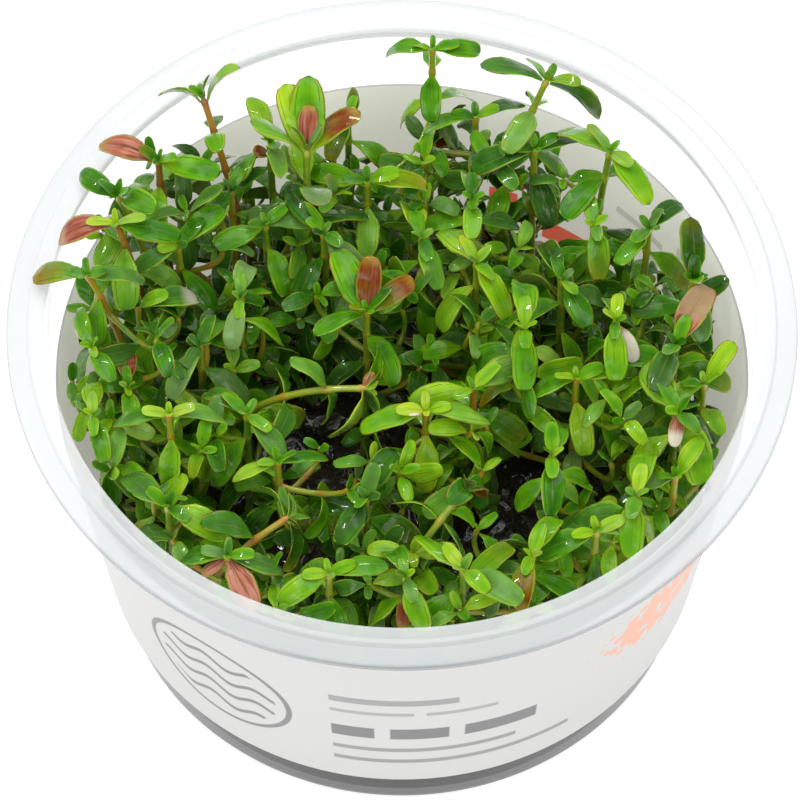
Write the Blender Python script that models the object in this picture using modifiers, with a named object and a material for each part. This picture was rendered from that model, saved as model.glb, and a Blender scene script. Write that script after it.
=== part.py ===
"""A rotala in its growing cup: a clear cup with a wide rim, the printed band round it, the dark
gel inside and the plantlets that stand in the gel, each with its leaves in crossed pairs.

Metres, +Z up. The origin is under the middle of the base, -Y is the front and +X its right."""

import math
from collections import namedtuple

import bmesh
import bpy
from mathutils import Vector
from mathutils.bvhtree import BVHTree

MM = 0.001
MERGE = 0.00001
SMOOTH_BELOW = 40

# Cup
CUP_HEIGHT = 0.0584
BASE_RADIUS = 0.0382
BASE_CORNER = 0.0022
SHOULDER_HEIGHT = 0.0468
SHOULDER_RADIUS = 0.0436
MOUTH_STEP = 0.0009
MOUTH_RADIUS = 0.0445
RIM_RADIUS = 0.0498
RIM_LAND = 0.0025
RIM_STEP = 0.0005
RIM_THICKNESS = 0.0018
WALL = 0.0008
FLOOR = 0.0011
ROUND_STEPS = 40

# Label
LABEL_BOTTOM = 0.0095
LABEL_TOP = 0.0465
LABEL_THICKNESS = 0.0003
GAP = 0.0003

# Gel
GEL_TOP = 0.0225
GEL_LUMP = 0.0012
GEL_STEPS = 20
GEL_RINGS = 5

# Shoots
STEM_WIDTH = 0.0011
STEM_STEPS = 40
NODE_HEIGHT = 0.0009
INTERNODES = (NODE_HEIGHT / 2, 0.0048, 0.0062, 0.0068, 0.0070)
LEAF_WIDTH = 0.42
LEAF_MIDDLE = 0.45
LEAF_END = 0.66
LEAF_HALF_THICKNESS = 0.00022
LEAF_START = 0.33
LEAF_START_WIDTH = 0.45
LEAF_CLEARANCE = 0.0003
LEAF_DROOP = 34
RISE_LOST_PER_PAIR = 20
STEM_CLEARANCE = 0.0017
BEND = 0.55
FOOT_TRIES = 60
FOOT_STEP = 0.0007
FOOT_TURN = 2.4

# The clear way down to the gel, between the plantlets: its lowest and highest corners
CLEARING = ((0.0115, -0.0165, GEL_TOP), (0.0170, -0.0110, CUP_HEIGHT))

# One row a plantlet, in millimetres and degrees: the tip, the foot on the gel, the bearing and
# rise of the top pair of leaves, the leaves' length, and how far the tip leans for each unit up.
Shoot = namedtuple("Shoot", "tip foot turn rise leaf tone lean pairs", defaults=((0, 0), 3))
PLANTING = (
    Shoot((-25.5, 31.0, 62), (-19, 24), 10, 58, 6.5, "olive", (-0.3, 0.5), 4),
    Shoot((-12.2, 24.4, 60), (-12, 20), 15, 60, 8.0, "fresh", (0, 0.5), 4),
    Shoot((-17.0, 27.5, 57), (-16, 26), 110, 35, 6.7, "fresh"),
    Shoot((-22.0, 21.5, 55), (-21, 18), 60, 15, 7.4, "deep"),
    Shoot((-31.0, 21.3, 62), (-29, 16), 160, 25, 7.4, "fresh", (0, 0), 4),
    Shoot((-36.0, 16.5, 61), (-31, 12), 145, 40, 7.2, "fresh", (-0.3, 0.1), 4),
    Shoot((-36.0, 10.5, 64), (-33, 7), 178, 8, 7.9, "yellow", (-0.2, 0), 4),
    Shoot((-39.5, 4.0, 62), (-35, 2), 165, 15, 7.2, "olive", (-0.3, 0), 4),
    Shoot((-39.0, -3.5, 57), (-35, -4), 115, 25, 6.2, "fresh", (-0.2, 0)),
    Shoot((-38.5, -13.0, 56), (-34, -12), 275, 5, 6.2, "yellow"),
    Shoot((-34.5, -7.0, 53), (-31, -6), 95, 25, 5.7, "fresh"),
    Shoot((-29.0, -13.5, 57), (-28, -13), 3, 12, 6.8, "yellow"),
    Shoot((-25.5, -1.5, 54), (-26, 2), 245, 10, 7.9, "deep"),
    Shoot((-20.5, 4.5, 56), (-20, 6), 88, 5, 6.7, "olive"),
    Shoot((-33.5, 4.5, 54), (-30, 5), 12, 10, 7.9, "fresh"),
    Shoot((-28.5, 12.5, 56), (-26, 11), 40, 20, 7.4, "fresh"),
    Shoot((-17.5, 17.0, 54), (-15, 14), 30, 20, 7.2, "olive"),
    Shoot((-10.0, 15.0, 55), (-8, 13), 310, 5, 7.9, "deep"),
    Shoot((-4.5, 23.0, 55), (-5, 20), 5, 15, 7.4, "fresh"),
    Shoot((-7.0, 33.0, 55), (-7, 29), 70, 20, 6.7, "olive"),
    Shoot((3.9, 36.0, 66), (3.5, 31), 178, 12, 6.2, "fresh", (0, 0), 4),
    Shoot((9.5, 31.0, 58), (9, 27), 10, 15, 6.7, "deep"),
    Shoot((18.6, 32.5, 64), (14, 25), 160, 12, 7.9, "olive", (0.4, 0.3), 4),
    Shoot((17.0, 26.0, 58), (17, 21), 200, 15, 8.4, "deep"),
    Shoot((26.5, 22.7, 62), (24, 19), 130, 15, 7.9, "fresh", (0.1, 0.1), 4),
    Shoot((24.5, 15.5, 56), (22, 12), 100, 5, 7.2, "fresh"),
    Shoot((31.5, 15.0, 56), (29, 12), 55, 15, 6.7, "deep"),
    Shoot((9.0, 19.5, 56), (10, 16), 92, 30, 6.5, "olive"),
    Shoot((2.5, 15.5, 53), (3, 12), 285, 5, 7.4, "fresh"),
    Shoot((9.5, 10.5, 55), (9, 7), 300, 5, 8.4, "fresh"),
    Shoot((-4.5, 5.0, 52), (-5, 2), 30, 35, 7.9, "deep"),
    Shoot((15.5, 0.5, 55), (14, 3), 90, 3, 7.9, "fresh"),
    Shoot((27.0, 1.0, 56), (26, 1), 85, 3, 7.9, "fresh"),
    Shoot((20.5, 8.5, 54), (20, 6), 115, 20, 7.2, "deep"),
    Shoot((22.0, -5.0, 52), (22, -5), 190, 15, 7.2, "fresh"),
    Shoot((34.5, -2.5, 56), (33, -3), 65, 35, 8.4, "deep"),
    Shoot((37.0, 7.0, 56), (35, 6), 95, 50, 7.9, "deep", (0.1, 0)),
    Shoot((34.5, -12.5, 56), (32, -10), 300, 8, 8.9, "fresh"),
    Shoot((38.0, -6.5, 53), (36, -7), 20, 25, 6.2, "fresh"),
    Shoot((29.0, -24.0, 55), (28, -20), 78, 10, 7.9, "yellow"),
    Shoot((34.0, -20.0, 53), (32, -16), 35, 20, 6.2, "fresh"),
    Shoot((24.0, -28.5, 54), (22, -25), 200, 12, 7.9, "fresh"),
    Shoot((16.0, -32.0, 54), (15, -29), 250, 15, 7.2, "olive"),
    Shoot((18.7, -17.0, 53), (19, -13), 270, 3, 7.2, "fresh"),
    Shoot((3.0, -10.5, 53), (2, -6), 5, 10, 7.9, "yellow"),
    Shoot((9.0, -6.5, 52), (9, -3), 40, 12, 8.4, "fresh"),
    Shoot((8.0, -22.5, 54), (-2, -29), 55, 15, 7.2, "deep", (1.2, 1.0)),
    Shoot((7.5, -34.5, 55), (8, -31), 310, 8, 8.4, "yellow"),
    Shoot((0.5, -35.0, 54), (1, -33), 285, -5, 6.7, "fresh"),
    Shoot((-4.5, -22.5, 52), (-3, -19), 68, 30, 7.9, "deep"),
    Shoot((-15.5, -18.5, 54), (-14, -15), 20, 15, 6.2, "fresh"),
    Shoot((-14.0, -26.0, 53), (-24, -28), 280, 3, 8.5, "deep", (2.0, 0.8)),
    Shoot((-21.5, -32.0, 54), (-20, -28), 172, 8, 7.4, "fresh"),
    Shoot((-29.0, -25.0, 54), (-27, -21), 140, 10, 7.9, "fresh"),
    Shoot((-19.5, -11.0, 53), (-20, -8), 318, 5, 7.4, "fresh"),
    Shoot((-4.5, -6.0, 51), (-27, -4), 80, 25, 7.4, "yellow", (6.0, -0.8)),
    Shoot((-9.0, -34.5, 54), (-9, -31), 15, 15, 7.4, "fresh"),
)

# Changes that a leaf tries, in order, until it stands clear: turn and rise in degrees, length
LEAF_CHANGES = tuple(
    (turn, rise, length)
    for length in (1.0, 0.88, 0.76)
    for turn, rise in (
        (0, 0), (0, 12), (0, -12), (14, 0), (-14, 0), (14, 14), (-14, 14),
        (0, 26), (0, -26), (28, 0), (-28, 0), (28, 20), (-28, 20), (0, 42), (0, -40),
    )
)

TONES = {
    "fresh": (0.13, 0.32, 0.03, 1),
    "yellow": (0.30, 0.42, 0.05, 1),
    "olive": (0.20, 0.27, 0.07, 1),
    "deep": (0.05, 0.20, 0.02, 1),
}


def clear_scene():
    for obj in list(bpy.data.objects):
        bpy.data.objects.remove(obj)


def material(name, colour, roughness, transmission=0.0):
    made = bpy.data.materials.new(name)
    made.use_nodes = True
    shader = made.node_tree.nodes["Principled BSDF"]
    shader.inputs["Base Color"].default_value = colour
    shader.inputs["Roughness"].default_value = roughness
    shader.inputs["Metallic"].default_value = 0.0
    shader.inputs["Transmission Weight"].default_value = transmission
    return made


def add_object(name, mesh, finish, collection):
    obj = bpy.data.objects.new(name, mesh)
    mesh.materials.append(finish)
    collection.objects.link(obj)
    return obj


def wall_radius(height):
    """Outer radius of the tapering wall."""
    return BASE_RADIUS + (SHOULDER_RADIUS - BASE_RADIUS) * height / SHOULDER_HEIGHT


def inner_radius(height):
    """Radius of the clear space inside the cup."""
    if height < SHOULDER_HEIGHT:
        return wall_radius(height) - WALL
    share = min((height - SHOULDER_HEIGHT) / (CUP_HEIGHT - SHOULDER_HEIGHT), 1)
    return SHOULDER_RADIUS - WALL + share * (MOUTH_RADIUS - SHOULDER_RADIUS + WALL)


def turned(profile, steps):
    """The mesh of a closed profile of (radius, height) points turned about the axis."""
    outline = bpy.data.meshes.new("outline")
    ends = len(profile) if profile[0][0] > 0 else len(profile) - 1
    edges = [(i, (i + 1) % len(profile)) for i in range(ends)]
    outline.from_pydata([(radius, 0, height) for radius, height in profile], edges, [])
    guide = bpy.data.objects.new("guide", outline)
    bpy.context.scene.collection.objects.link(guide)
    screw = guide.modifiers.new("turn", "SCREW")
    screw.steps = screw.render_steps = steps
    screw.use_merge_vertices = True
    screw.merge_threshold = MERGE
    graph = bpy.context.evaluated_depsgraph_get()
    mesh = bpy.data.meshes.new_from_object(guide.evaluated_get(graph))
    bpy.data.objects.remove(guide)
    bpy.data.meshes.remove(outline)
    mesh.shade_smooth()
    mesh.set_sharp_from_angle(angle=math.radians(SMOOTH_BELOW))
    return mesh


def corner(radius, height, size, steps=3):
    """Rounded corner of the base, from the wall in to the flat."""
    centre = (radius - size, height + size)
    for i in range(steps + 1):
        angle = math.radians(90) * i / steps
        yield centre[0] + size * math.cos(angle), centre[1] - size * math.sin(angle)


def cup_profile():
    inner_base = wall_radius(FLOOR) - WALL
    land = MOUTH_RADIUS + RIM_LAND
    low = CUP_HEIGHT - RIM_STEP
    mouth_bottom = SHOULDER_HEIGHT + 1.5 * MOUTH_STEP
    mouth_outer = SHOULDER_RADIUS + MOUTH_STEP
    return (
        (0, FLOOR),
        (inner_base - BASE_CORNER + WALL, FLOOR),
        (wall_radius(BASE_CORNER) - WALL, BASE_CORNER + FLOOR / 2),
        (SHOULDER_RADIUS - WALL, SHOULDER_HEIGHT),
        (mouth_outer - WALL, mouth_bottom),
        (MOUTH_RADIUS, CUP_HEIGHT),
        (land, CUP_HEIGHT),
        (land + RIM_STEP / 2, low),
        (RIM_RADIUS, low),
        (RIM_RADIUS, CUP_HEIGHT - RIM_THICKNESS),
        (MOUTH_RADIUS + WALL, CUP_HEIGHT - RIM_THICKNESS),
        (mouth_outer, mouth_bottom),
        (SHOULDER_RADIUS, SHOULDER_HEIGHT),
        *corner(BASE_RADIUS, 0, BASE_CORNER),
        (0, 0),
    )


def label_profile():
    inner = [(wall_radius(height) + GAP, height) for height in (LABEL_BOTTOM, LABEL_TOP)]
    outer = [(radius + LABEL_THICKNESS, height) for radius, height in reversed(inner)]
    return (*inner, *outer)


def gel_profile():
    edge = inner_radius(GEL_TOP) - GAP
    rings = [(edge * i / GEL_RINGS, GEL_TOP) for i in range(GEL_RINGS)]
    bottom = FLOOR + GAP
    corner_height = bottom + BASE_CORNER
    return (
        *rings,
        (edge, GEL_TOP - GEL_LUMP / 2),
        (inner_radius(corner_height) - GAP - WALL / 4, corner_height),
        (inner_radius(bottom) - BASE_CORNER - GAP, bottom),
        (0, bottom),
    )


def gel_lump(x, y):
    """How far the lumpy top of the gel stands above or below its level."""
    ripple = math.sin(x * 310 + 1.1) * math.cos(y * 270 - 0.6)
    return GEL_LUMP * (0.6 * ripple + 0.4 * math.sin(x * 140 - y * 190 + 0.4))


def lumpy(mesh):
    for vertex in mesh.vertices:
        x, y, height = vertex.co
        if height > GEL_TOP - GEL_LUMP / 4:
            vertex.co.z += gel_lump(x, y)
    return mesh


def tree_of(corners, faces):
    return BVHTree.FromPolygons([tuple(corner) for corner in corners], faces)


RING_FACES = ((0, 1, 5, 4), (1, 2, 6, 5), (2, 3, 7, 6), (3, 0, 4, 7))


class Blade:
    """A leaf's place: its midrib's root, middle and tip, its side and its upper face."""

    def __init__(self, root, out, up, rise, length):
        self.side = up.cross(out).normalized()
        self.root = root
        first, second = rise - LEAF_DROOP * 0.3, rise - LEAF_DROOP
        self.middle = root + self.bent(out, up, first) * length * LEAF_MIDDLE
        self.tip = self.middle + self.bent(out, up, second) * length * (1 - LEAF_MIDDLE)
        self.upper = self.bent(out, up, (first + second) / 2 + 90)
        self.half_width = length * LEAF_WIDTH / 2

    @staticmethod
    def bent(out, up, angle):
        return out * math.cos(math.radians(angle)) + up * math.sin(math.radians(angle))

    def edge_points(self):
        """Points on the midrib and both edges, for the tests against the cup and the gel."""
        for share in (0.5, 1):
            yield from self.across(self.root.lerp(self.middle, share), share)
        for share in (0.5, 1):
            width = 1 - share * (1 - LEAF_END)
            yield from self.across(self.middle.lerp(self.tip, share), width)

    def across(self, point, share):
        offset = self.side * self.half_width * share
        return point - offset, point, point + offset

    def solid(self, extra):
        """Corners of the blade from a third of the way out, thicker all round by extra."""
        wide = self.side * (self.half_width + extra)
        thick = self.upper * (LEAF_HALF_THICKNESS + extra)
        root = self.root.lerp(self.middle, LEAF_START)
        corners = []
        for point, share in ((root, LEAF_START_WIDTH), (self.middle, 1), (self.tip, LEAF_END)):
            corners += [point - wide * share - thick, point + wide * share - thick]
            corners += [point + wide * share + thick, point - wide * share + thick]
        return corners

    def tree(self, extra):
        faces = [tuple(i + shift for i in face) for shift in (0, 4) for face in RING_FACES]
        return tree_of(self.solid(extra), faces + [(3, 2, 1, 0), (8, 9, 10, 11)])


class Stem:
    """A plantlet's stem: a smooth curve from its foot to its tip, and its leaf nodes."""

    def __init__(self, shoot, foot):
        self.shoot = shoot
        tip = Vector(shoot.tip) * MM
        lean = Vector((*shoot.lean, 1)).normalized()
        bend = tip - lean * (tip - foot).length * BEND
        self.points = []
        for i in range(STEM_STEPS + 1):
            t = i / STEM_STEPS
            self.points.append(tip.lerp(bend, t).lerp(bend.lerp(foot, t), t))
        self.blades = {}

    def at(self, distance):
        """Centre and frame of the stem, this far from its tip."""
        turn = Vector((math.cos(self.turn), math.sin(self.turn), 0))
        for before, after in zip(self.points, self.points[1:]):
            step = (before - after).length
            if distance <= step or after is self.points[-1]:
                break
            distance -= step
        up = (before - after).normalized()
        lean = Vector((0, 0, 1)).rotation_difference(up)
        along = lean @ turn
        return before.lerp(after, min(distance / step, 1)), along, up.cross(along), up

    @property
    def turn(self):
        return math.radians(self.shoot.turn)

    @property
    def length(self):
        return sum((a - b).length for a, b in zip(self.points, self.points[1:]))

    def nodes(self):
        """How far from the tip each pair of leaves stands."""
        distance = 0
        for step in INTERNODES[: self.shoot.pairs]:
            distance += step
            if distance < self.length - 2 * NODE_HEIGHT:
                yield distance

    def rings(self):
        """Distances from the tip of the stem's rings, foot first: two at each node."""
        ends = [d + s * NODE_HEIGHT / 2 for d in self.nodes() for s in (-1, 1)]
        middle = (max(ends) + self.length) / 2
        return [self.length, middle, *reversed(ends)]

    def tree(self):
        corners = []
        for distance in self.rings():
            centre, along, across, _ = self.at(distance)
            half = STEM_WIDTH / 2
            for u, v in ((1, -1), (1, 1), (-1, 1), (-1, -1)):
                corners.append(centre + (along * u + across * v) * half)
        rings = len(corners) // 4 - 1
        faces = [tuple(i + 4 * n for i in face) for n in range(rings) for face in RING_FACES]
        return tree_of(corners, faces)


def clear_of_cup(point, gel):
    """Whether a leaf may pass through this point."""
    radius = math.hypot(point.x, point.y)
    if point.z > CUP_HEIGHT + 2 * GAP:
        limit = RIM_RADIUS - GAP
    else:
        limit = inner_radius(min(point.z, SHOULDER_HEIGHT)) - 2 * GAP
        if point.z > SHOULDER_HEIGHT + 2 * MOUTH_STEP:
            limit += MOUTH_STEP
    above_gel = point.z > gel_height(gel, point.x, point.y) + GAP
    return radius < limit and above_gel and not in_clearing(point)


def in_clearing(point, margin=GAP):
    """Whether the point is in the clear way down to the gel, or this near to it."""
    return all(low - margin < at < high + margin for at, low, high in zip(point, *CLEARING))


def clearing_tree():
    (x0, y0, z0), (x1, y1, z1) = CLEARING
    corners = [(x, y, z) for x in (x0, x1) for y in (y0, y1) for z in (z0, z1)]
    return tree_of(corners, ((0, 1, 3, 2), (4, 6, 7, 5), (0, 4, 5, 1), (2, 3, 7, 6)))


def gel_height(gel, x, y):
    hit = gel.ray_cast(Vector((x, y, CUP_HEIGHT)), Vector((0, 0, -1)))[0]
    return hit.z if hit else GEL_TOP


def free_foot(shoot, gel, stems):
    """The stem on the first foot, spiralling out from the one given, that misses the others."""
    for i in range(FOOT_TRIES):
        angle, reach = i * FOOT_TURN, FOOT_STEP * math.sqrt(i)
        x = shoot.foot[0] * MM + reach * math.cos(angle)
        y = shoot.foot[1] * MM + reach * math.sin(angle)
        stem = Stem(shoot, Vector((x, y, gel_height(gel, x, y) + 1.5 * GAP)))
        near = min(
            ((a - b).length for other in stems for a in other.points for b in stem.points),
            default=1,
        )
        blocked = any(in_clearing(point, STEM_WIDTH) for point in stem.points)
        if near > STEM_CLEARANCE and not blocked:
            return stem
    raise ValueError(f"no free foot for the plantlet at {shoot.tip}")


def grow_leaf(stem, pair, distance, opposite, taken, gel):
    """Adds the leaf to its stem if one of its changes stands clear of everything taken."""
    centre, along, across, up = stem.at(distance)
    shoot = stem.shoot
    for turn, rise, length in LEAF_CHANGES:
        angle = math.radians(turn + 90 * pair + 180 * opposite)
        out = along * math.cos(angle) + across * math.sin(angle)
        lifted = shoot.rise - RISE_LOST_PER_PAIR * pair + rise
        blade = Blade(centre + out * STEM_WIDTH / 2, out, up, lifted, shoot.leaf * MM * length)
        if not all(clear_of_cup(point, gel) for point in blade.edge_points()):
            continue
        wide = blade.tree(LEAF_CLEARANCE)
        reach = shoot.leaf * MM
        near = [t for middle, size, t in taken if (middle - blade.middle).length < reach + size]
        if not any(wide.overlap(other) for other in near):
            stem.blades[pair, opposite] = blade
            taken.append((blade.middle, reach, blade.tree(0)))
            return


def grow(gel_object):
    """Stems first, then the leaves, the top pairs of all the plantlets before the next."""
    gel = BVHTree.FromObject(gel_object, bpy.context.evaluated_depsgraph_get())
    stems = []
    for shoot in PLANTING:
        stems.append(free_foot(shoot, gel, stems))
    middle, reach = (Vector(CLEARING[0]) + Vector(CLEARING[1])) / 2, CUP_HEIGHT - GEL_TOP
    taken = [(middle, reach, clearing_tree())]
    taken += [(stem.at(stem.length / 2)[0], stem.length / 2, stem.tree()) for stem in stems]
    for pair in range(len(INTERNODES)):
        for stem in stems:
            nodes = list(stem.nodes())
            if pair < len(nodes):
                for opposite in (0, 1):
                    grow_leaf(stem, pair, nodes[pair], opposite, taken, gel)
    return stems


def sign(value):
    return 1 if value > 0 else -1


def extrude(mesh, face, place):
    """Draws a face out and puts each of its corners where place says. Gives the new face."""
    face = bmesh.ops.extrude_discrete_faces(mesh, faces=[face])["faces"][0]
    for vertex in face.verts:
        vertex.co = place(vertex.co)
    return face


def draw_blade(mesh, face, blade, up):
    """Draws a leaf out of a face of its node: a wide middle, then a thin blunt tip."""
    centre = face.calc_center_median()

    def middle(corner):
        wide = blade.side * blade.half_width * sign((corner - centre).dot(blade.side))
        return blade.middle + wide + blade.upper * LEAF_HALF_THICKNESS * sign((corner - centre).dot(up))

    def tip(corner):
        side = sign((corner - blade.middle).dot(blade.side))
        return blade.tip + blade.side * blade.half_width * LEAF_END * side

    extrude(mesh, extrude(mesh, face, middle), tip)


def shoot_mesh(name, stem):
    """The stem drawn up from a cube, ring by ring, with its leaves drawn out of the nodes."""
    mesh = bmesh.new()
    half = STEM_WIDTH / 2
    frames = [stem.at(distance) for distance in stem.rings()]
    for vertex in bmesh.ops.create_cube(mesh, size=2)["verts"]:
        centre, along, across, _ = frames[vertex.co.z > 0]
        vertex.co = centre + along * vertex.co.x * half + across * vertex.co.y * half
    top = max(mesh.faces, key=lambda face: face.calc_center_median().dot(frames[1][3]))
    sprouting = []
    for number, (below, above) in enumerate(zip(frames[1:], frames[2:])):

        def ring(corner, below=below, above=above):
            u = sign((corner - below[0]).dot(below[1])) * half
            v = sign((corner - below[0]).dot(below[2])) * half
            return above[0] + above[1] * u + above[2] * v

        top = extrude(mesh, top, ring)
        if number % 2 == 1:
            pair = len(list(stem.nodes())) - 1 - number // 2
            sides = {face for edge in top.edges for face in edge.link_faces} - {top}
            for opposite in (0, 1):
                blade = stem.blades.get((pair, opposite))
                if blade:
                    out = blade.root - above[0].lerp(below[0], 0.5)
                    side = max(sides, key=lambda face: face.calc_center_median().dot(out))
                    sprouting.append((side, blade, above[3]))
    for face, blade, up in sprouting:
        draw_blade(mesh, face, blade, up)
    bmesh.ops.remove_doubles(mesh, verts=mesh.verts, dist=MERGE)
    bmesh.ops.recalc_face_normals(mesh, faces=mesh.faces)
    made = bpy.data.meshes.new(name)
    mesh.to_mesh(made)
    mesh.free()
    return made


def main():
    clear_scene()
    collection = bpy.data.collections.new("rotala")
    bpy.context.scene.collection.children.link(collection)
    clear = material("clear_plastic", (0.86, 0.88, 0.88, 1), 0.2, transmission=0.7)
    paper = material("label_film", (0.78, 0.77, 0.76, 1), 0.5)
    dark = material("gel", (0.02, 0.017, 0.014, 1), 0.12)
    add_object("cup", turned(cup_profile(), ROUND_STEPS), clear, collection)
    add_object("label", turned(label_profile(), ROUND_STEPS), paper, collection)
    gel = add_object("gel", lumpy(turned(gel_profile(), GEL_STEPS)), dark, collection)
    greens = {tone: material(f"leaf_{tone}", colour, 0.35) for tone, colour in TONES.items()}
    for number, stem in enumerate(grow(gel), 1):
        name = f"shoot_{number:02d}"
        add_object(name, shoot_mesh(name, stem), greens[stem.shoot.tone], collection)


main()
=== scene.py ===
"""The look of a rotala in its growing cup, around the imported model: smooth clear cup, printed band,
wet dark gel, and every plantlet grown again with soft stems and fine leaves where its solid stands.

Metres, +Z up. The origin is under the middle of the base, -Y is the front and +X its right."""

import math
import random
from collections import namedtuple

import bmesh
import bpy
import numpy as np
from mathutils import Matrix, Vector, noise
from mathutils.bvhtree import BVHTree


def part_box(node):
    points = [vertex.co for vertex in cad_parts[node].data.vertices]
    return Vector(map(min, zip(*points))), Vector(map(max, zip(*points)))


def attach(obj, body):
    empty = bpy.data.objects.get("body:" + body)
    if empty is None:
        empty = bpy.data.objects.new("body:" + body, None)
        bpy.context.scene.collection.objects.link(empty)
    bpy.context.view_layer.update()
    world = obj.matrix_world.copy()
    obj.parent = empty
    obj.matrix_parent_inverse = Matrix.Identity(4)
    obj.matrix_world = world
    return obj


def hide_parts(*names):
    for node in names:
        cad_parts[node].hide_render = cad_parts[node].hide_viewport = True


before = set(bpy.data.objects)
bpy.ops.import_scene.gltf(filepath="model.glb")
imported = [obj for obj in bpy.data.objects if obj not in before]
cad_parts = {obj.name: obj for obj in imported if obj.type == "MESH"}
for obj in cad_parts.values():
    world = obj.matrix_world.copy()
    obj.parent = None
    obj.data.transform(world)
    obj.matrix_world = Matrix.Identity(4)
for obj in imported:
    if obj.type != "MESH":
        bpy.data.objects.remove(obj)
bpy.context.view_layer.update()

MM = 0.001

# Cup: its sizes as the solid has them, where its milky rim and the painted shade of its skirt start and
# end below the top, and where its dark foot ends, painted dark to stand in for the dark gel and its
# shade behind the clear plastic
CUP_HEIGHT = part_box("cup")[1].z
RIM_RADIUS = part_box("cup")[1].x
BASE_RADIUS = 0.0382
BASE_CORNER = 0.0022
SHOULDER_HEIGHT = 0.0468
SHOULDER_RADIUS = 0.0436
MOUTH_STEP = 0.0009
MOUTH_RADIUS = 0.0445
RIM_LAND = 0.0025
RIM_STEP = 0.0005
RIM_THICKNESS = 0.0018
RIM_EDGE = 0.0004
MILKY_DOWN_TO = 2.6 * MM
MILKY_FADES_BY = 3.0 * MM
SKIRT_STARTS = 0.4 * MM
SKIRT_FULL_AT = 0.9 * MM
FOOT_TOP = 0.0100
FOOT_FULL_AT = 0.0085
WALL = 0.0008
FLOOR = 0.0011
ROUND_STEPS = 192
POLE_MERGE = 0.000005
SMOOTH_BELOW = 32

# Label, and the gap that it and the gel keep from the cup
LABEL_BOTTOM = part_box("label")[0].z
LABEL_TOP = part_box("label")[1].z
LABEL_THICKNESS = 0.0003
PRINT_RADIUS = 0.0415
GAP = 0.0003

# Gel: its level, the height of its lumps and folds, and how wide its smooth edge is
GEL_TOP = 0.0225
GEL_LUMP = 0.0012
GEL_DENT = 0.0005
GEL_RIDGE = 0.0007
GEL_GRAIN = 0.00012
GEL_SMOOTH_EDGE = 0.002
GEL_RINGS = 70

# Shoots, as the solids have them
STEM_WIDTH = 0.0011
STEM_STEPS = 40
NODE_HEIGHT = 0.0009
INTERNODES = (NODE_HEIGHT / 2, 0.0048, 0.0062, 0.0068, 0.0070)
LEAF_WIDTH = 0.42
LEAF_MIDDLE = 0.45
LEAF_END = 0.66
LEAF_HALF_THICKNESS = 0.00022
LEAF_START = 0.33
LEAF_START_WIDTH = 0.45
LEAF_CLEARANCE = 0.0003
LEAF_DROOP = 34
RISE_LOST_PER_PAIR = 20
STEM_CLEARANCE = 0.0017
BEND = 0.55
FOOT_TRIES = 60
FOOT_STEP = 0.0007
FOOT_TURN = 2.4
MOST_LEAVES = 4096

# The clear way down to the gel, between the plantlets: its lowest and highest corners
CLEARING = ((0.0115, -0.0165, GEL_TOP), (0.0170, -0.0110, CUP_HEIGHT))

# All that is left to chance starts from this seed
SEED = 11

# What is finer than the solids starts with pairs lower on the same stems: how far apart they are,
# their length, swing, rise and droop, and how much lower in height each pair counts as
LOWER_INTERNODE = 0.0052
LOWER_LENGTH = (0.75, 1.0)
LOWER_SWING = (-15, 15)
LOWER_RISE = (-10, 35)
LOWER_DROOP = 30
HEIGHT_PER_PAIR = 0.2

# Room for an inner leaf is sought with a blade this much thinner all round. Every leaf is this
# many times as wide as the solids' leaves.
THIN = -0.0002
FULLNESS = 1.05

# The plane in which places among the leaves are judged, and how depth shows in it from the front
VIEW_SLOPE = 0.64
CANOPY = 0.050

# Side shoots, up to one a plantlet in each round. Where they start is a share of the stem, and
# they reach out and rise in millimetres. Then come their leaves and buds, and their limits.
SPRIG_ROUNDS = 5
SPRIG_TRIES = 14
SPRIG_PAIRS = 3
SPRIG_START = (0.18, 0.85)
SPRIG_REACH = (3.5, 9.5)
SPRIG_LIFT = (2.5, 10)
SPRIG_LEAN = (-0.45, 0.45)
SPRIG_RISE = (5, 50)
SPRIG_RISE_LOST = 14
SPRIG_DROOP = (20, 45)
SPRIG_LEAF = (5.6, 7.8)
SPRIG_HEIGHT = 0.75
SPRIG_BUD_LENGTH = (0.35, 0.55)
SPRIG_BUD_RISE = (50, 75)
SPRIG_SHARES = (0.75, 1, 1)
SPRIG_SHORTEST = 0.0045
SPRIG_TOP = 0.0525
SPRIG_BELOW_TIP = 3.5 * MM
SPRIG_FROM_WALL = 1.3 * MM
SPRIG_BACK = 33
SPRIG_BACK_RIGHT = 37
RIGHT_SIDE = 8 * MM

# Bare roots and stems: plantlet, width, how brown, and start, bend and end in millimetres
ROOTS = (
    (21, 0.34, 0.25, ((3.6, 34.0, 55), (2.5, 27.0, 53), (-4.2, 25.5, 51))),
    (21, 0.34, 0.25, ((3.4, 33.0, 49), (3.0, 28.0, 44), (3.4, 20.0, 41))),
    (28, 0.34, 0.25, ((9.4, 19.0, 48), (6.0, 15.0, 44), (4.0, 17.0, 40))),
)
ROOT_STEPS = 16

# Small red buds: plantlet, millimetres below its tip, bearing on the stem
RED_BUDS = ((3, 3.0, 60), (21, 21.0, 200), (21, 20.0, 230))
RED_BUD_LENGTH = 0.0021
RED_BUD_WIDTH = 0.42
RED_BUD_RISES = (15, 50)
RED_BUD_DROOP = 40

# Where dark gel or bare wall shows between the leaves, in millimetres as seen from the front
# above: centre and half sizes in the plane of the canopy
GEL_SHOWS = (
    (-26.5, 11, 4, 3.5), (3, 4, 2.5, 2), (-18, -15.5, 4, 2.5), (-10, -10.5, 4.5, 3.5),
    (-9, -18, 3, 2.5), (22, -12, 4, 3.5), (16, -19.5, 4.5, 5), (2.3, 13.5, 2.5, 2),
    (-19, -26, 3.5, 2.5), (25, -20, 3, 3), (12, 24, 2.2, 3), (21.7, 17.7, 4, 3.2),
    (34.5, 19, 3.5, 8), (-5.5, 35, 6.5, 6),
)

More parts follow.
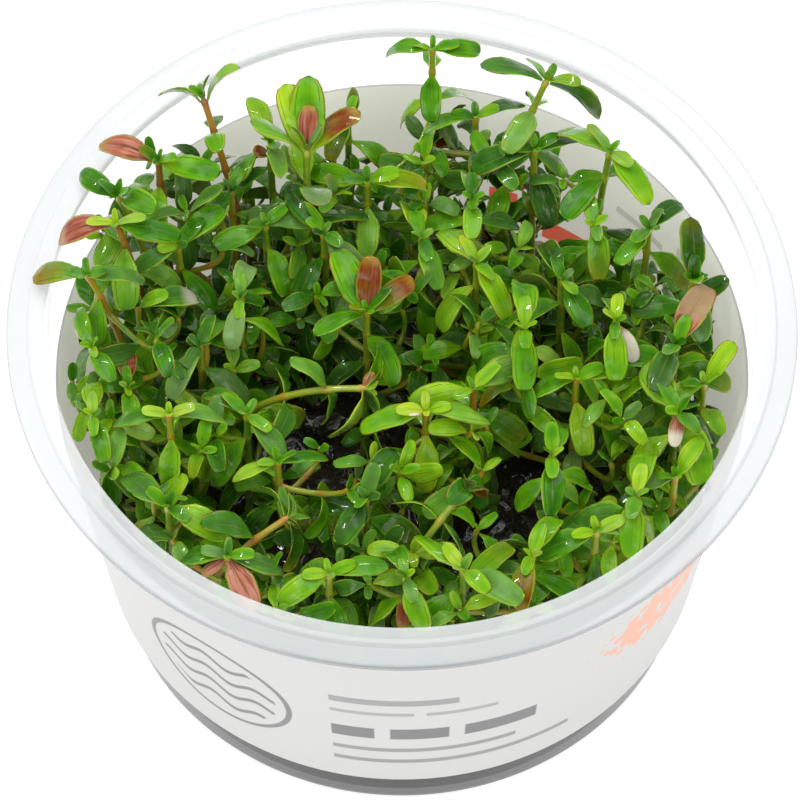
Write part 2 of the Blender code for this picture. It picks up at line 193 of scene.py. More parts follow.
# One row a plantlet, in millimetres and degrees: the tip, the foot on the gel, the bearing and
# rise of the top pair of leaves, the leaves' length, and how far the tip leans for each unit up.
Shoot = namedtuple("Shoot", "tip foot turn rise leaf tone lean pairs", defaults=((0, 0), 3))
PLANTING = (
    Shoot((-25.5, 31.0, 62), (-19, 24), 10, 58, 6.5, "olive", (-0.3, 0.5), 4),
    Shoot((-12.2, 24.4, 60), (-12, 20), 15, 60, 8.0, "fresh", (0, 0.5), 4),
    Shoot((-17.0, 27.5, 57), (-16, 26), 110, 35, 6.7, "fresh"),
    Shoot((-22.0, 21.5, 55), (-21, 18), 60, 15, 7.4, "deep"),
    Shoot((-31.0, 21.3, 62), (-29, 16), 160, 25, 7.4, "fresh", (0, 0), 4),
    Shoot((-36.0, 16.5, 61), (-31, 12), 145, 40, 7.2, "fresh", (-0.3, 0.1), 4),
    Shoot((-36.0, 10.5, 64), (-33, 7), 178, 8, 7.9, "yellow", (-0.2, 0), 4),
    Shoot((-39.5, 4.0, 62), (-35, 2), 165, 15, 7.2, "olive", (-0.3, 0), 4),
    Shoot((-39.0, -3.5, 57), (-35, -4), 115, 25, 6.2, "fresh", (-0.2, 0)),
    Shoot((-38.5, -13.0, 56), (-34, -12), 275, 5, 6.2, "yellow"),
    Shoot((-34.5, -7.0, 53), (-31, -6), 95, 25, 5.7, "fresh"),
    Shoot((-29.0, -13.5, 57), (-28, -13), 3, 12, 6.8, "yellow"),
    Shoot((-25.5, -1.5, 54), (-26, 2), 245, 10, 7.9, "deep"),
    Shoot((-20.5, 4.5, 56), (-20, 6), 88, 5, 6.7, "olive"),
    Shoot((-33.5, 4.5, 54), (-30, 5), 12, 10, 7.9, "fresh"),
    Shoot((-28.5, 12.5, 56), (-26, 11), 40, 20, 7.4, "fresh"),
    Shoot((-17.5, 17.0, 54), (-15, 14), 30, 20, 7.2, "olive"),
    Shoot((-10.0, 15.0, 55), (-8, 13), 310, 5, 7.9, "deep"),
    Shoot((-4.5, 23.0, 55), (-5, 20), 5, 15, 7.4, "fresh"),
    Shoot((-7.0, 33.0, 55), (-7, 29), 70, 20, 6.7, "olive"),
    Shoot((3.9, 36.0, 66), (3.5, 31), 178, 12, 6.2, "fresh", (0, 0), 4),
    Shoot((9.5, 31.0, 58), (9, 27), 10, 15, 6.7, "deep"),
    Shoot((18.6, 32.5, 64), (14, 25), 160, 12, 7.9, "olive", (0.4, 0.3), 4),
    Shoot((17.0, 26.0, 58), (17, 21), 200, 15, 8.4, "deep"),
    Shoot((26.5, 22.7, 62), (24, 19), 130, 15, 7.9, "fresh", (0.1, 0.1), 4),
    Shoot((24.5, 15.5, 56), (22, 12), 100, 5, 7.2, "fresh"),
    Shoot((31.5, 15.0, 56), (29, 12), 55, 15, 6.7, "deep"),
    Shoot((9.0, 19.5, 56), (10, 16), 92, 30, 6.5, "olive"),
    Shoot((2.5, 15.5, 53), (3, 12), 285, 5, 7.4, "fresh"),
    Shoot((9.5, 10.5, 55), (9, 7), 300, 5, 8.4, "fresh"),
    Shoot((-4.5, 5.0, 52), (-5, 2), 30, 35, 7.9, "deep"),
    Shoot((15.5, 0.5, 55), (14, 3), 90, 3, 7.9, "fresh"),
    Shoot((27.0, 1.0, 56), (26, 1), 85, 3, 7.9, "fresh"),
    Shoot((20.5, 8.5, 54), (20, 6), 115, 20, 7.2, "deep"),
    Shoot((22.0, -5.0, 52), (22, -5), 190, 15, 7.2, "fresh"),
    Shoot((34.5, -2.5, 56), (33, -3), 65, 35, 8.4, "deep"),
    Shoot((37.0, 7.0, 56), (35, 6), 95, 50, 7.9, "deep", (0.1, 0)),
    Shoot((34.5, -12.5, 56), (32, -10), 300, 8, 8.9, "fresh"),
    Shoot((38.0, -6.5, 53), (36, -7), 20, 25, 6.2, "fresh"),
    Shoot((29.0, -24.0, 55), (28, -20), 78, 10, 7.9, "yellow"),
    Shoot((34.0, -20.0, 53), (32, -16), 35, 20, 6.2, "fresh"),
    Shoot((24.0, -28.5, 54), (22, -25), 200, 12, 7.9, "fresh"),
    Shoot((16.0, -32.0, 54), (15, -29), 250, 15, 7.2, "olive"),
    Shoot((18.7, -17.0, 53), (19, -13), 270, 3, 7.2, "fresh"),
    Shoot((3.0, -10.5, 53), (2, -6), 5, 10, 7.9, "yellow"),
    Shoot((9.0, -6.5, 52), (9, -3), 40, 12, 8.4, "fresh"),
    Shoot((8.0, -22.5, 54), (-2, -29), 55, 15, 7.2, "deep", (1.2, 1.0)),
    Shoot((7.5, -34.5, 55), (8, -31), 310, 8, 8.4, "yellow"),
    Shoot((0.5, -35.0, 54), (1, -33), 285, -5, 6.7, "fresh"),
    Shoot((-4.5, -22.5, 52), (-3, -19), 68, 30, 7.9, "deep"),
    Shoot((-15.5, -18.5, 54), (-14, -15), 20, 15, 6.2, "fresh"),
    Shoot((-14.0, -26.0, 53), (-24, -28), 280, 3, 8.5, "deep", (2.0, 0.8)),
    Shoot((-21.5, -32.0, 54), (-20, -28), 172, 8, 7.4, "fresh"),
    Shoot((-29.0, -25.0, 54), (-27, -21), 140, 10, 7.9, "fresh"),
    Shoot((-19.5, -11.0, 53), (-20, -8), 318, 5, 7.4, "fresh"),
    Shoot((-4.5, -6.0, 51), (-27, -4), 80, 25, 7.4, "yellow", (6.0, -0.8)),
    Shoot((-9.0, -34.5, 54), (-9, -31), 15, 15, 7.4, "fresh"),
)

# Changes that a leaf tries, in order, until it stands clear: turn and rise in degrees, length
LEAF_CHANGES = tuple(
    (turn, rise, length)
    for length in (1.0, 0.88, 0.76)
    for turn, rise in (
        (0, 0), (0, 12), (0, -12), (14, 0), (-14, 0), (14, 14), (-14, 14),
        (0, 26), (0, -26), (28, 0), (-28, 0), (28, 20), (-28, 20), (0, 42), (0, -40),
    )
)

# Young leaves at the tips
BUD_DROOP = 30
BUD_STEEPEST = 82

# How light the green of a plantlet is, how much lighter it gets towards the right, and painted light
# that makes it lighter towards the middle
TONES = {"fresh": 0.50, "yellow": 0.63, "olive": 0.43, "deep": 0.28}
LIGHTER_RIGHT = 0.05
PAINTED_LIGHT_MIDDLE = 0.10

# Shapes that leaves share
FLAT = {"twist": 0, "fold": 0.1, "size": 1.06}
STILL = {"curl": 0, "bow": 0, "sway": 0}

# Looks of single leaves: plantlet, pair from the tip, and which of the two leaves. Tone is how
# light its green is, blush how red it is, grey how dusty, and bleach how far it has faded.
ACCENTS = {
    (1, 0, 0): {"tone": 0.72, "grey": 0.4, "blush": 0},
    (1, 0, 1): {"tone": 0.74, "grey": 0.3, "blush": 0},
    (1, 1, 0): {"tone": 0.2, "blush": 0.1},
    (2, 0, 0): FLAT | {"tone": 0.75, "blush": 0.56, "twist": 0.5, "roll": 0.1},
    (2, 0, 1): FLAT | {"tone": 0.6, "blush": 0, "twist": -0.2},
    (2, 1, 0): {"tone": 0.7, "blush": 0, "twist": 0},
    (2, 1, 1): {"tone": 0.2, "grey": 0.8, "blush": 0, "twist": 0},
    (3, 0, 0): {"tone": 0.75, "blush": 0},
    (5, 0, 0): FLAT | {"blush": 1.05, "roll": 0.1},
    (5, 0, 1): {"blush": 0, "tone": 0.5},
    (7, 0, 0): FLAT | {"blush": 0.98, "roll": 0},
    (7, 0, 1): {"blush": 0, "tone": 0.35},
    (8, 0, 0): {"tone": 0.5, "blush": 0.36, "grey": 0.3, "twist": 0, "fold": 0.1},
    (8, 0, 1): {"tone": 0.3, "blush": 0},
    (11, 0, 0): {"blush": 0.8, "fold": 0.1},
    (13, 0, 0): {"grey": 0.8},
    (14, 0, 0): {"grey": 0.9},
    (14, 0, 1): {"grey": 1.0},
    (15, 0, 0): {"bleach": 0.8},
    (18, 0, 0): {"tone": 0.15},
    (18, 0, 1): {"tone": 0.18},
    (20, 0, 0): {"tone": 0.3, "blush": 0.3, "size": 0.6},
    (20, 0, 1): {"tone": 0.25, "blush": 0.3},
    (21, 0, 0): {"tone": 0.4, "blush": 0},
    (21, 0, 1): {"tone": 0.4, "blush": 0},
    (23, 0, 0): FLAT | {"tone": 0.3, "blush": 0, "grey": 0.2, "fold": 0},
    (23, 0, 1): {"tone": 0.15, "blush": 0.22, "twist": 0},
    (24, 0, 0): {"tone": 0.15, "blush": 0},
    (24, 0, 1): {"tone": 0.18, "blush": 0},
    (25, 0, 0): FLAT | {"tone": 0.6, "blush": 0},
    (25, 0, 1): FLAT | {"tone": 0.6, "blush": 0},
    (28, 0, 0): {"grey": 0.7, "blush": 0.25},
    (31, 0, 0): {"tone": 0.5, "blush": 0.5, "twist": 0.3},
    (31, 0, 1): {"tone": 0.4, "blush": 0},
    (33, 0, 1): {"tone": 0.6, "blush": 0},
    (36, 0, 0): {"blush": 1.1, "bleach": 1.3, "grey": 1.0, "twist": 0.3, "roll": 0},
    (38, 0, 1): {"tone": 0.62, "blush": 0},
    (40, 0, 0): {"tone": 0.62, "blush": 0},
    (40, 0, 1): {"tone": 0.6, "blush": 0.12},
    (43, 0, 0): {"blush": 0.5},
    (47, 0, 0): {"blush": 0.45, "grey": 0.6},
    (53, 0, 0): {"tone": 0.35, "blush": 0},
    (53, 0, 1): {"tone": 0.3},
}

# Leaves out of step with the pairs: plantlet, millimetres below its tip, bearing from the right
# towards the back, rise, length, and what is its own in its look
ODD_LOOK = {"twist": 0, "fold": 0.15, "roll": 0.1, "blush": 0, "grey": 0, "size": 1}
ODD_DROOP = 24
ODD_LEAVES = (
    (2, 0.5, 112, 52, 9.4, {"tone": 0.80}),
    (2, 1.0, 88, 55, 10.5, {"tone": 0.55}),
    (2, 0.3, 85, 60, 6.2, {"blush": 0.95}),
    (31, 0.5, 84, 58, 7.6, {"blush": 0.68}),
    (31, 1.2, 118, 45, 9.6, {"tone": 0.50}),
    (33, 0.8, 300, -8, 5.6, {"blush": 0.9, "bleach": 1.6}),
    (38, 0.4, 262, 4, 4.6, {"blush": 1.0, "bleach": 1.0}),
    (45, 0.3, 200, 34, 2.6, {"blush": 1.0, "bleach": 1.2}),
    (53, 0.8, 297, 6, 7.8, {"blush": 1.2}),
    (53, 1.0, 208, 0, 3.8, {"blush": 1.2}),
    (56, 0.4, 60, 30, 2.6, {"blush": 0.9}),
    (49, 4.5, 262, -14, 4.4, {"blush": 0.7}),
)

# How brown the stem of some plantlets is
RUST = {1: 0.7, 5: 0.95, 7: 0.8, 8: 0.5, 40: 0.8, 52: 0.5, 46: 0.6, 56: 0.3, 21: 0.3}


def put(name, data):
    """A new object in the scene."""
    made = bpy.data.objects.new(name, data)
    bpy.context.scene.collection.objects.link(made)
    return made


def wall_radius(height):
    """Outer radius of the tapering wall."""
    return BASE_RADIUS + (SHOULDER_RADIUS - BASE_RADIUS) * height / SHOULDER_HEIGHT


def inner_radius(height):
    """Radius of the clear space inside the cup."""
    if height < SHOULDER_HEIGHT:
        return wall_radius(height) - WALL
    share = min((height - SHOULDER_HEIGHT) / (CUP_HEIGHT - SHOULDER_HEIGHT), 1)
    return SHOULDER_RADIUS - WALL + share * (MOUTH_RADIUS - SHOULDER_RADIUS + WALL)


def tree_of(corners, faces):
    """Faces in a form whose overlap with others is quickly found."""
    return BVHTree.FromPolygons([tuple(corner) for corner in corners], faces)


RING_FACES = ((0, 1, 5, 4), (1, 2, 6, 5), (2, 3, 7, 6), (3, 0, 4, 7))


class Blade:
    """A leaf's place: its midrib's root, middle and tip, its side and its upper face."""

    def __init__(self, root, out, up, rise, length, droop=LEAF_DROOP):
        self.side = up.cross(out).normalized()
        self.root = root
        self.length = length
        first, second = rise - droop * 0.3, rise - droop
        self.middle = root + self.bent(out, up, first) * length * LEAF_MIDDLE
        self.tip = self.middle + self.bent(out, up, second) * length * (1 - LEAF_MIDDLE)
        self.upper = self.bent(out, up, (first + second) / 2 + 90)
        self.half_width = length * LEAF_WIDTH / 2

    @staticmethod
    def bent(out, up, angle):
        """The way out, raised by this angle."""
        return out * math.cos(math.radians(angle)) + up * math.sin(math.radians(angle))

    def edge_points(self):
        """Points on the midrib and both edges, for the tests against the cup and the gel."""
        for share in (0.5, 1):
            yield from self.across(self.root.lerp(self.middle, share), share)
        for share in (0.5, 1):
            width = 1 - share * (1 - LEAF_END)
            yield from self.across(self.middle.lerp(self.tip, share), width)

    def across(self, point, share):
        offset = self.side * self.half_width * share
        return point - offset, point, point + offset

    def solid(self, extra):
        """Corners of the blade from a third of the way out, thicker all round by extra."""
        wide = self.side * (self.half_width + extra)
        thick = self.upper * (LEAF_HALF_THICKNESS + extra)
        root = self.root.lerp(self.middle, LEAF_START)
        corners = []
        for point, share in ((root, LEAF_START_WIDTH), (self.middle, 1), (self.tip, LEAF_END)):
            corners += [point - wide * share - thick, point + wide * share - thick]
            corners += [point + wide * share + thick, point - wide * share + thick]
        return corners

    def tree(self, extra):
        faces = [tuple(i + shift for i in face) for shift in (0, 4) for face in RING_FACES]
        return tree_of(self.solid(extra), faces + [(3, 2, 1, 0), (8, 9, 10, 11)])


class Stem:
    """A plantlet's stem: a smooth curve from its foot to its tip, and its leaf nodes."""

    def __init__(self, shoot, foot):
        self.shoot = shoot
        tip = Vector(shoot.tip) * MM
        lean = Vector((*shoot.lean, 1)).normalized()
        bend = tip - lean * (tip - foot).length * BEND
        self.points = []
        for i in range(STEM_STEPS + 1):
            t = i / STEM_STEPS
            self.points.append(tip.lerp(bend, t).lerp(bend.lerp(foot, t), t))

    def at(self, distance):
        """Centre and frame of the stem, this far from its tip."""
        turn = Vector((math.cos(self.turn), math.sin(self.turn), 0))
        for before, after in zip(self.points, self.points[1:]):
            step = (before - after).length
            if distance <= step or after is self.points[-1]:
                break
            distance -= step
        up = (before - after).normalized()
        lean = Vector((0, 0, 1)).rotation_difference(up)
        along = lean @ turn
        return before.lerp(after, min(distance / step, 1)), along, up.cross(along), up

    @property
    def turn(self):
        return math.radians(self.shoot.turn)

    @property
    def length(self):
        return sum((a - b).length for a, b in zip(self.points, self.points[1:]))

    def nodes(self):
        """How far from the tip each pair of leaves stands."""
        distance = 0
        for step in INTERNODES[: self.shoot.pairs]:
            distance += step
            if distance < self.length - 2 * NODE_HEIGHT:
                yield distance

    def rings(self):
        """Distances from the tip of the stem's rings, foot first: two at each node."""
        ends = [d + s * NODE_HEIGHT / 2 for d in self.nodes() for s in (-1, 1)]
        middle = (max(ends) + self.length) / 2
        return [self.length, middle, *reversed(ends)]

    def tree(self, skip=0):
        """The stem's faces, less its lowest rings."""
        corners = []
        for distance in self.rings()[skip:]:
            centre, along, across, _ = self.at(distance)
            half = STEM_WIDTH / 2
            for u, v in ((1, -1), (1, 1), (-1, 1), (-1, -1)):
                corners.append(centre + (along * u + across * v) * half)
        rings = len(corners) // 4 - 1
        faces = [tuple(i + 4 * n for i in face) for n in range(rings) for face in RING_FACES]
        return tree_of(corners, faces)


class Bed:
    """The gel that the plantlets stand in and everything that a new leaf must stand clear of."""

    def __init__(self, gel):
        self.gel = BVHTree.FromObject(gel, bpy.context.evaluated_depsgraph_get())
        self.middles = np.zeros((MOST_LEAVES, 3))
        self.reaches = np.zeros(MOST_LEAVES)
        self.trees = []
        low, high = (Vector(corner) for corner in CLEARING)
        corners = [(x, y, z) for x in (low.x, high.x) for y in (low.y, high.y) for z in (low.z, high.z)]
        walls = ((0, 1, 3, 2), (4, 6, 7, 5), (0, 4, 5, 1), (2, 3, 7, 6))
        self.add((low + high) / 2, CUP_HEIGHT - GEL_TOP, tree_of(corners, walls))

    def add(self, middle, reach, tree):
        self.middles[len(self.trees)] = middle
        self.reaches[len(self.trees)] = reach
        self.trees.append(tree)

    def blocks(self, middle, reach, tree):
        count = len(self.trees)
        apart = np.linalg.norm(self.middles[:count] - np.array(middle), axis=1)
        near = np.nonzero(apart < self.reaches[:count] + reach)[0]
        return any(tree.overlap(self.trees[i]) for i in near)

    def height(self, x, y):
        hit = self.gel.ray_cast(Vector((x, y, CUP_HEIGHT)), Vector((0, 0, -1)))[0]
        return hit.z if hit else GEL_TOP

    def holds(self, point):
        """Whether a leaf may pass through this point."""
        radius = math.hypot(point.x, point.y)
        if point.z > CUP_HEIGHT + 2 * GAP:
            limit = RIM_RADIUS - GAP
        else:
            limit = inner_radius(min(point.z, SHOULDER_HEIGHT)) - 2 * GAP
            if point.z > SHOULDER_HEIGHT + 2 * MOUTH_STEP:
                limit += MOUTH_STEP
        above_gel = point.z > self.height(point.x, point.y) + GAP
        return radius < limit and above_gel and not in_clearing(point)

    def room(self, stem, distance, bearing, rise, length, droop=LEAF_DROOP, clearance=LEAF_CLEARANCE):
        """The first way to place a leaf near the one asked for that stands clear, or None."""
        centre, along, across, up = stem.at(distance)
        for turn, lift, share in LEAF_CHANGES:
            angle = math.radians(turn + bearing)
            out = along * math.cos(angle) + across * math.sin(angle)
            blade = Blade(centre + out * STEM_WIDTH / 2, out, up, rise + lift, length * share, droop)
            if not all(self.holds(point) for point in blade.edge_points()):
                continue
            if not self.blocks(blade.middle, length, blade.tree(clearance)):
                self.add(blade.middle, length, blade.tree(min(clearance, 0)))
                return blade
        return None


def in_clearing(point, margin=GAP):
    """Whether the point is in the clear way down to the gel, or this near to it."""
    return all(low - margin < at < high + margin for at, low, high in zip(point, *CLEARING))


def free_foot(shoot, bed, stems):
    """The stem on the first foot, spiralling out from the one given, that misses the others."""
    for i in range(FOOT_TRIES):
        angle, reach = i * FOOT_TURN, FOOT_STEP * math.sqrt(i)
        x = shoot.foot[0] * MM + reach * math.cos(angle)
        y = shoot.foot[1] * MM + reach * math.sin(angle)
        stem = Stem(shoot, Vector((x, y, bed.height(x, y) + 1.5 * GAP)))
        near = min(
            ((a - b).length for other in stems for a in other.points for b in stem.points),
            default=1,
        )
        blocked = any(in_clearing(point, STEM_WIDTH) for point in stem.points)
        if near > STEM_CLEARANCE and not blocked:
            return stem
    raise ValueError(f"no free foot for the plantlet at {shoot.tip}")


class Plantlet:
    """One plantlet: its stem, its side shoots, and the leaves on them with their colouring."""

    def __init__(self, stem):
        self.stem = stem
        tip = stem.points[0]
        self.tone = TONES[stem.shoot.tone] + LIGHTER_RIGHT * tip.x / RIM_RADIUS
        # painted light towards the middle, against the shade that falls among the plantlets
        self.tone += PAINTED_LIGHT_MIDDLE * (1 - math.hypot(tip.x, tip.y) / RIM_RADIUS)
        self.side_shoots = []
        self.roots = []
        self.leaves = []

    def add_leaf(self, blade, height, rng, **changes):
        """height is 1 for the top pair and falls towards the foot, where leaves are darker with painted
        shade.
        """
        look = {
            "size": rng.uniform(0.90, 1.06),
            "spread": rng.uniform(1.05, 1.45),
            "fold": rng.uniform(-0.10, 0.60),
            "roll": rng.uniform(0.0, 0.32),
            "twist": rng.uniform(-0.6, 0.6),
            "curl": rng.uniform(-0.2, 0.8) * MM * (2 - height),
            "bow": rng.uniform(-0.5, 2.2) * MM,
            "sway": rng.uniform(-1.0, 1.0) * MM,
            # lower leaves are darkened as painted shade under the canopy
            "tone": self.tone + rng.uniform(-0.24, 0.22) - 0.26 * (1 - height),
            "blush": max(rng.gauss(-0.05, 0.16), 0),
            "grey": max(rng.gauss(0.0, 0.25), 0),
            "seed": rng.random(),
        }
        self.leaves.append((blade, look | changes))


def grow(bed):
    """Stems first, then the leaves, the top pairs of all the plantlets before the next."""
    stems = []
    for shoot in PLANTING:
        stems.append(free_foot(shoot, bed, stems))
    for stem in stems:
        bed.add(stem.at(stem.length / 2)[0], stem.length / 2, stem.tree())
    plantlets = [Plantlet(stem) for stem in stems]
    rng = random.Random(SEED)
    for pair in range(len(INTERNODES)):
        for number, plantlet in enumerate(plantlets, 1):
            stem = plantlet.stem
            rise = stem.shoot.rise - RISE_LOST_PER_PAIR * pair
            for distance in list(stem.nodes())[pair : pair + 1]:
                for opposite in (0, 1):
                    bearing = 90 * pair + 180 * opposite
                    blade = bed.room(stem, distance, bearing, rise, stem.shoot.leaf * MM)
                    if blade:
                        changes = ACCENTS.get((number, pair, opposite), {})
                        plantlet.add_leaf(blade, 1 - HEIGHT_PER_PAIR * pair, rng, **changes)
    grow_buds(plantlets, rng)
    grow_side_shoots(plantlets, bed, rng)
    grow_lower_pairs(plantlets, bed, rng)
    grow_roots(plantlets)
    grow_red_buds(plantlets, rng)
    grow_odd_leaves(plantlets, rng)
    return plantlets


def grow_roots(plantlets):
    """Bare roots and leafless stems that leave a stem in smooth curves."""
    for number, width, rust, points in ROOTS:
        ends = [Vector(point) * MM for point in points]
        curve = []
        for i in range(ROOT_STEPS + 1):
            t = i / ROOT_STEPS
            first, second = ends[0].lerp(ends[1], t), ends[1].lerp(ends[2], t)
            curve.append(first.lerp(second, t))
        plantlets[number - 1].roots.append((curve, width * MM, rust))


def grow_red_buds(plantlets, rng):
    """Small round red buds close against a stem."""
    for number, distance, bearing in RED_BUDS:
        plantlet = plantlets[number - 1]
        centre, along, across, up = plantlet.stem.at(distance * MM)
        angle = math.radians(bearing)
        out = (along * math.cos(angle) + across * math.sin(angle)).normalized()
        for rise in RED_BUD_RISES:
            blade = Blade(centre + out * STEM_WIDTH / 3, out, up, rise, RED_BUD_LENGTH, RED_BUD_DROOP)
            blade.half_width = RED_BUD_LENGTH * RED_BUD_WIDTH
            plantlet.add_leaf(blade, 1, rng, **STILL, blush=0.62, grey=0, fold=0.2)


def grow_odd_leaves(plantlets, rng):
    """Single leaves that stand out in the photograph, out of step with the pairs."""
    for number, below, bearing, rise, length, look in ODD_LEAVES:
        plantlet = plantlets[number - 1]
        centre = plantlet.stem.at(below * MM)[0]
        angle = math.radians(bearing)
        out = Vector((math.cos(angle), math.sin(angle), 0))
        blade = Blade(centre, out, Vector((0, 0, 1)), rise, length * MM, ODD_DROOP)
        plantlet.add_leaf(blade, 1, rng, **(STILL | ODD_LOOK | look))


def grow_buds(plantlets, rng):
    """The next two pairs at the tip of each stem, the second still folded up."""
    for plantlet in plantlets:
        centre, along, across, up = plantlet.stem.at(0)
        rise = plantlet.stem.shoot.rise
        pairs = ((across, 62, BUD_STEEPEST, 0.32), (along, rise + 22, rise + 38, 0.55))
        for out, low, high, share in pairs:
            for sign in (-1, 1):
                length = plantlet.stem.shoot.leaf * MM * rng.uniform(0.8, 1.2) * share
                lift = min(rng.uniform(low, high), BUD_STEEPEST)
                blade = Blade(centre - up * NODE_HEIGHT / 3, out * sign, up, lift, length, BUD_DROOP)
                plantlet.add_leaf(blade, 1.2, rng, **STILL, fold=0.3, roll=0.15)


def grow_lower_pairs(plantlets, bed, rng):
    """Smaller pairs on the lower half of each stem, down to the gel."""
    for plantlet in plantlets:
        stem = plantlet.stem
        pair = len(list(stem.nodes()))
        distance = max(stem.nodes()) + LOWER_INTERNODE
        while distance < stem.length - 2 * NODE_HEIGHT:
            for opposite in (0, 1):
                length = stem.shoot.leaf * MM * rng.uniform(*LOWER_LENGTH)
                bearing = 90 * pair + 180 * opposite + rng.uniform(*LOWER_SWING)
                rise = rng.uniform(*LOWER_RISE)
                blade = bed.room(stem, distance, bearing, rise, length, LOWER_DROOP, THIN)
                if blade and not over_dark_gel(blade.middle):
                    plantlet.add_leaf(blade, 0.2, rng)
            pair += 1
            distance += LOWER_INTERNODE


def seen(point):
    """Where the point shows in the plane of the canopy, in millimetres, from the front above."""
    return point.x / MM, (point.y + VIEW_SLOPE * (point.z - CANOPY)) / MM


def over_dark_gel(point):
    """Whether a leaf here would hide dark gel or bare wall that shows."""
    x, y = seen(point)
    return any(math.hypot((x - cx) / rx, (y - cy) / ry) < 1 for cx, cy, rx, ry in GEL_SHOWS)


def grow_side_shoots(plantlets, bed, rng):
    """Short leafy branches from the lower stems, which fill the space between the plantlets."""
    for plantlet in plantlets * SPRIG_ROUNDS:
        side = side_shoot(plantlet.stem, bed, rng)
        grown = side_leaves(side, bed, rng) if side else []
        if not any(pair == 0 for pair, _ in grown):
            continue
        plantlet.side_shoots.append(side)
        bed.add(side.at(side.length / 2)[0], side.length / 2, side.tree())
        for pair, blade in grown:
            plantlet.add_leaf(blade, SPRIG_HEIGHT - HEIGHT_PER_PAIR * pair, rng)
        centre, _, across, up = side.at(0)
        for sign in (-1, 1):
            length = side.shoot.leaf * MM * rng.uniform(*SPRIG_BUD_LENGTH)
            rise = rng.uniform(*SPRIG_BUD_RISE)
            blade = Blade(centre - up * NODE_HEIGHT / 3, across * sign, up, rise, length, BUD_DROOP)
            plantlet.add_leaf(blade, 0.9, rng, **STILL)


def side_leaves(side, bed, rng):
    """The leaves of a side shoot that find room, each with the number of its pair."""
    grown = []
    for pair, distance in enumerate(side.nodes()):
        for opposite in (0, 1):
            length = side.shoot.leaf * MM * SPRIG_SHARES[pair]
            rise = side.shoot.rise - SPRIG_RISE_LOST * pair
            bearing = 90 * pair + 180 * opposite
            droop = rng.uniform(*SPRIG_DROOP)
            blade = bed.room(side, distance, bearing, rise, length, droop, THIN)
            if blade and not over_dark_gel(blade.middle):
                grown.append((pair, blade))
    return grown


def side_shoot(stem, bed, rng):
    """A branch that starts on the stem and ends in free space below the canopy, or None."""
    for _ in range(SPRIG_TRIES):
        start = stem.at(stem.length * rng.uniform(*SPRIG_START))[0]
        bearing = rng.uniform(0, 2 * math.pi)
        reach, lift = rng.uniform(*SPRIG_REACH) * MM, rng.uniform(*SPRIG_LIFT) * MM
        tip = start + Vector((math.cos(bearing) * reach, math.sin(bearing) * reach, lift))
        top = max(SPRIG_TOP, stem.points[0].z - SPRIG_BELOW_TIP)
        back = SPRIG_BACK_RIGHT if tip.x > RIGHT_SIDE else SPRIG_BACK
        if tip.z > top or seen(tip)[1] > back or not bed.holds(tip) or over_dark_gel(tip):
            continue
        if math.hypot(tip.x, tip.y) > inner_radius(tip.z) - SPRIG_FROM_WALL:
            continue
        lean = (rng.uniform(*SPRIG_LEAN), rng.uniform(*SPRIG_LEAN))
        shoot = Shoot(
            tuple(tip / MM), None, rng.uniform(0, 180), rng.uniform(*SPRIG_RISE),
            rng.uniform(*SPRIG_LEAF), stem.shoot.tone, lean, SPRIG_PAIRS,
        )
        side = Stem(shoot, start)
        if side.length < SPRIG_SHORTEST or not list(side.nodes()):
            continue
        outer = side.points[: len(side.points) * 3 // 4]
        if all(bed.holds(point) for point in outer) and not bed.blocks(tip, side.length, side.tree(1)):
            return side
    return None


class Wire:
    """A number or a vector that flows between nodes, and the arithmetic on it."""

    def __init__(self, graph, socket):
        self.graph = graph
        self.socket = socket

    @property
    def is_vector(self):
        return self.socket.type == "VECTOR"

    def __add__(self, other):
        return self.graph.calculate("ADD", self, other)

    def __sub__(self, other):
        return self.graph.calculate("SUBTRACT", self, other)

    def __rsub__(self, other):
        return self.graph.calculate("SUBTRACT", other, self)

    def __mul__(self, other):
        return self.graph.calculate("MULTIPLY", self, other)

    def __truediv__(self, other):
        return self.graph.calculate("DIVIDE", self, other)

    def __rtruediv__(self, other):
        return self.graph.calculate("DIVIDE", other, self)

    def __pow__(self, other):
        return self.graph.calculate("POWER", self, other)

    def __abs__(self):
        return self.graph.calculate("ABSOLUTE", self)

    __radd__ = __add__
    __rmul__ = __mul__


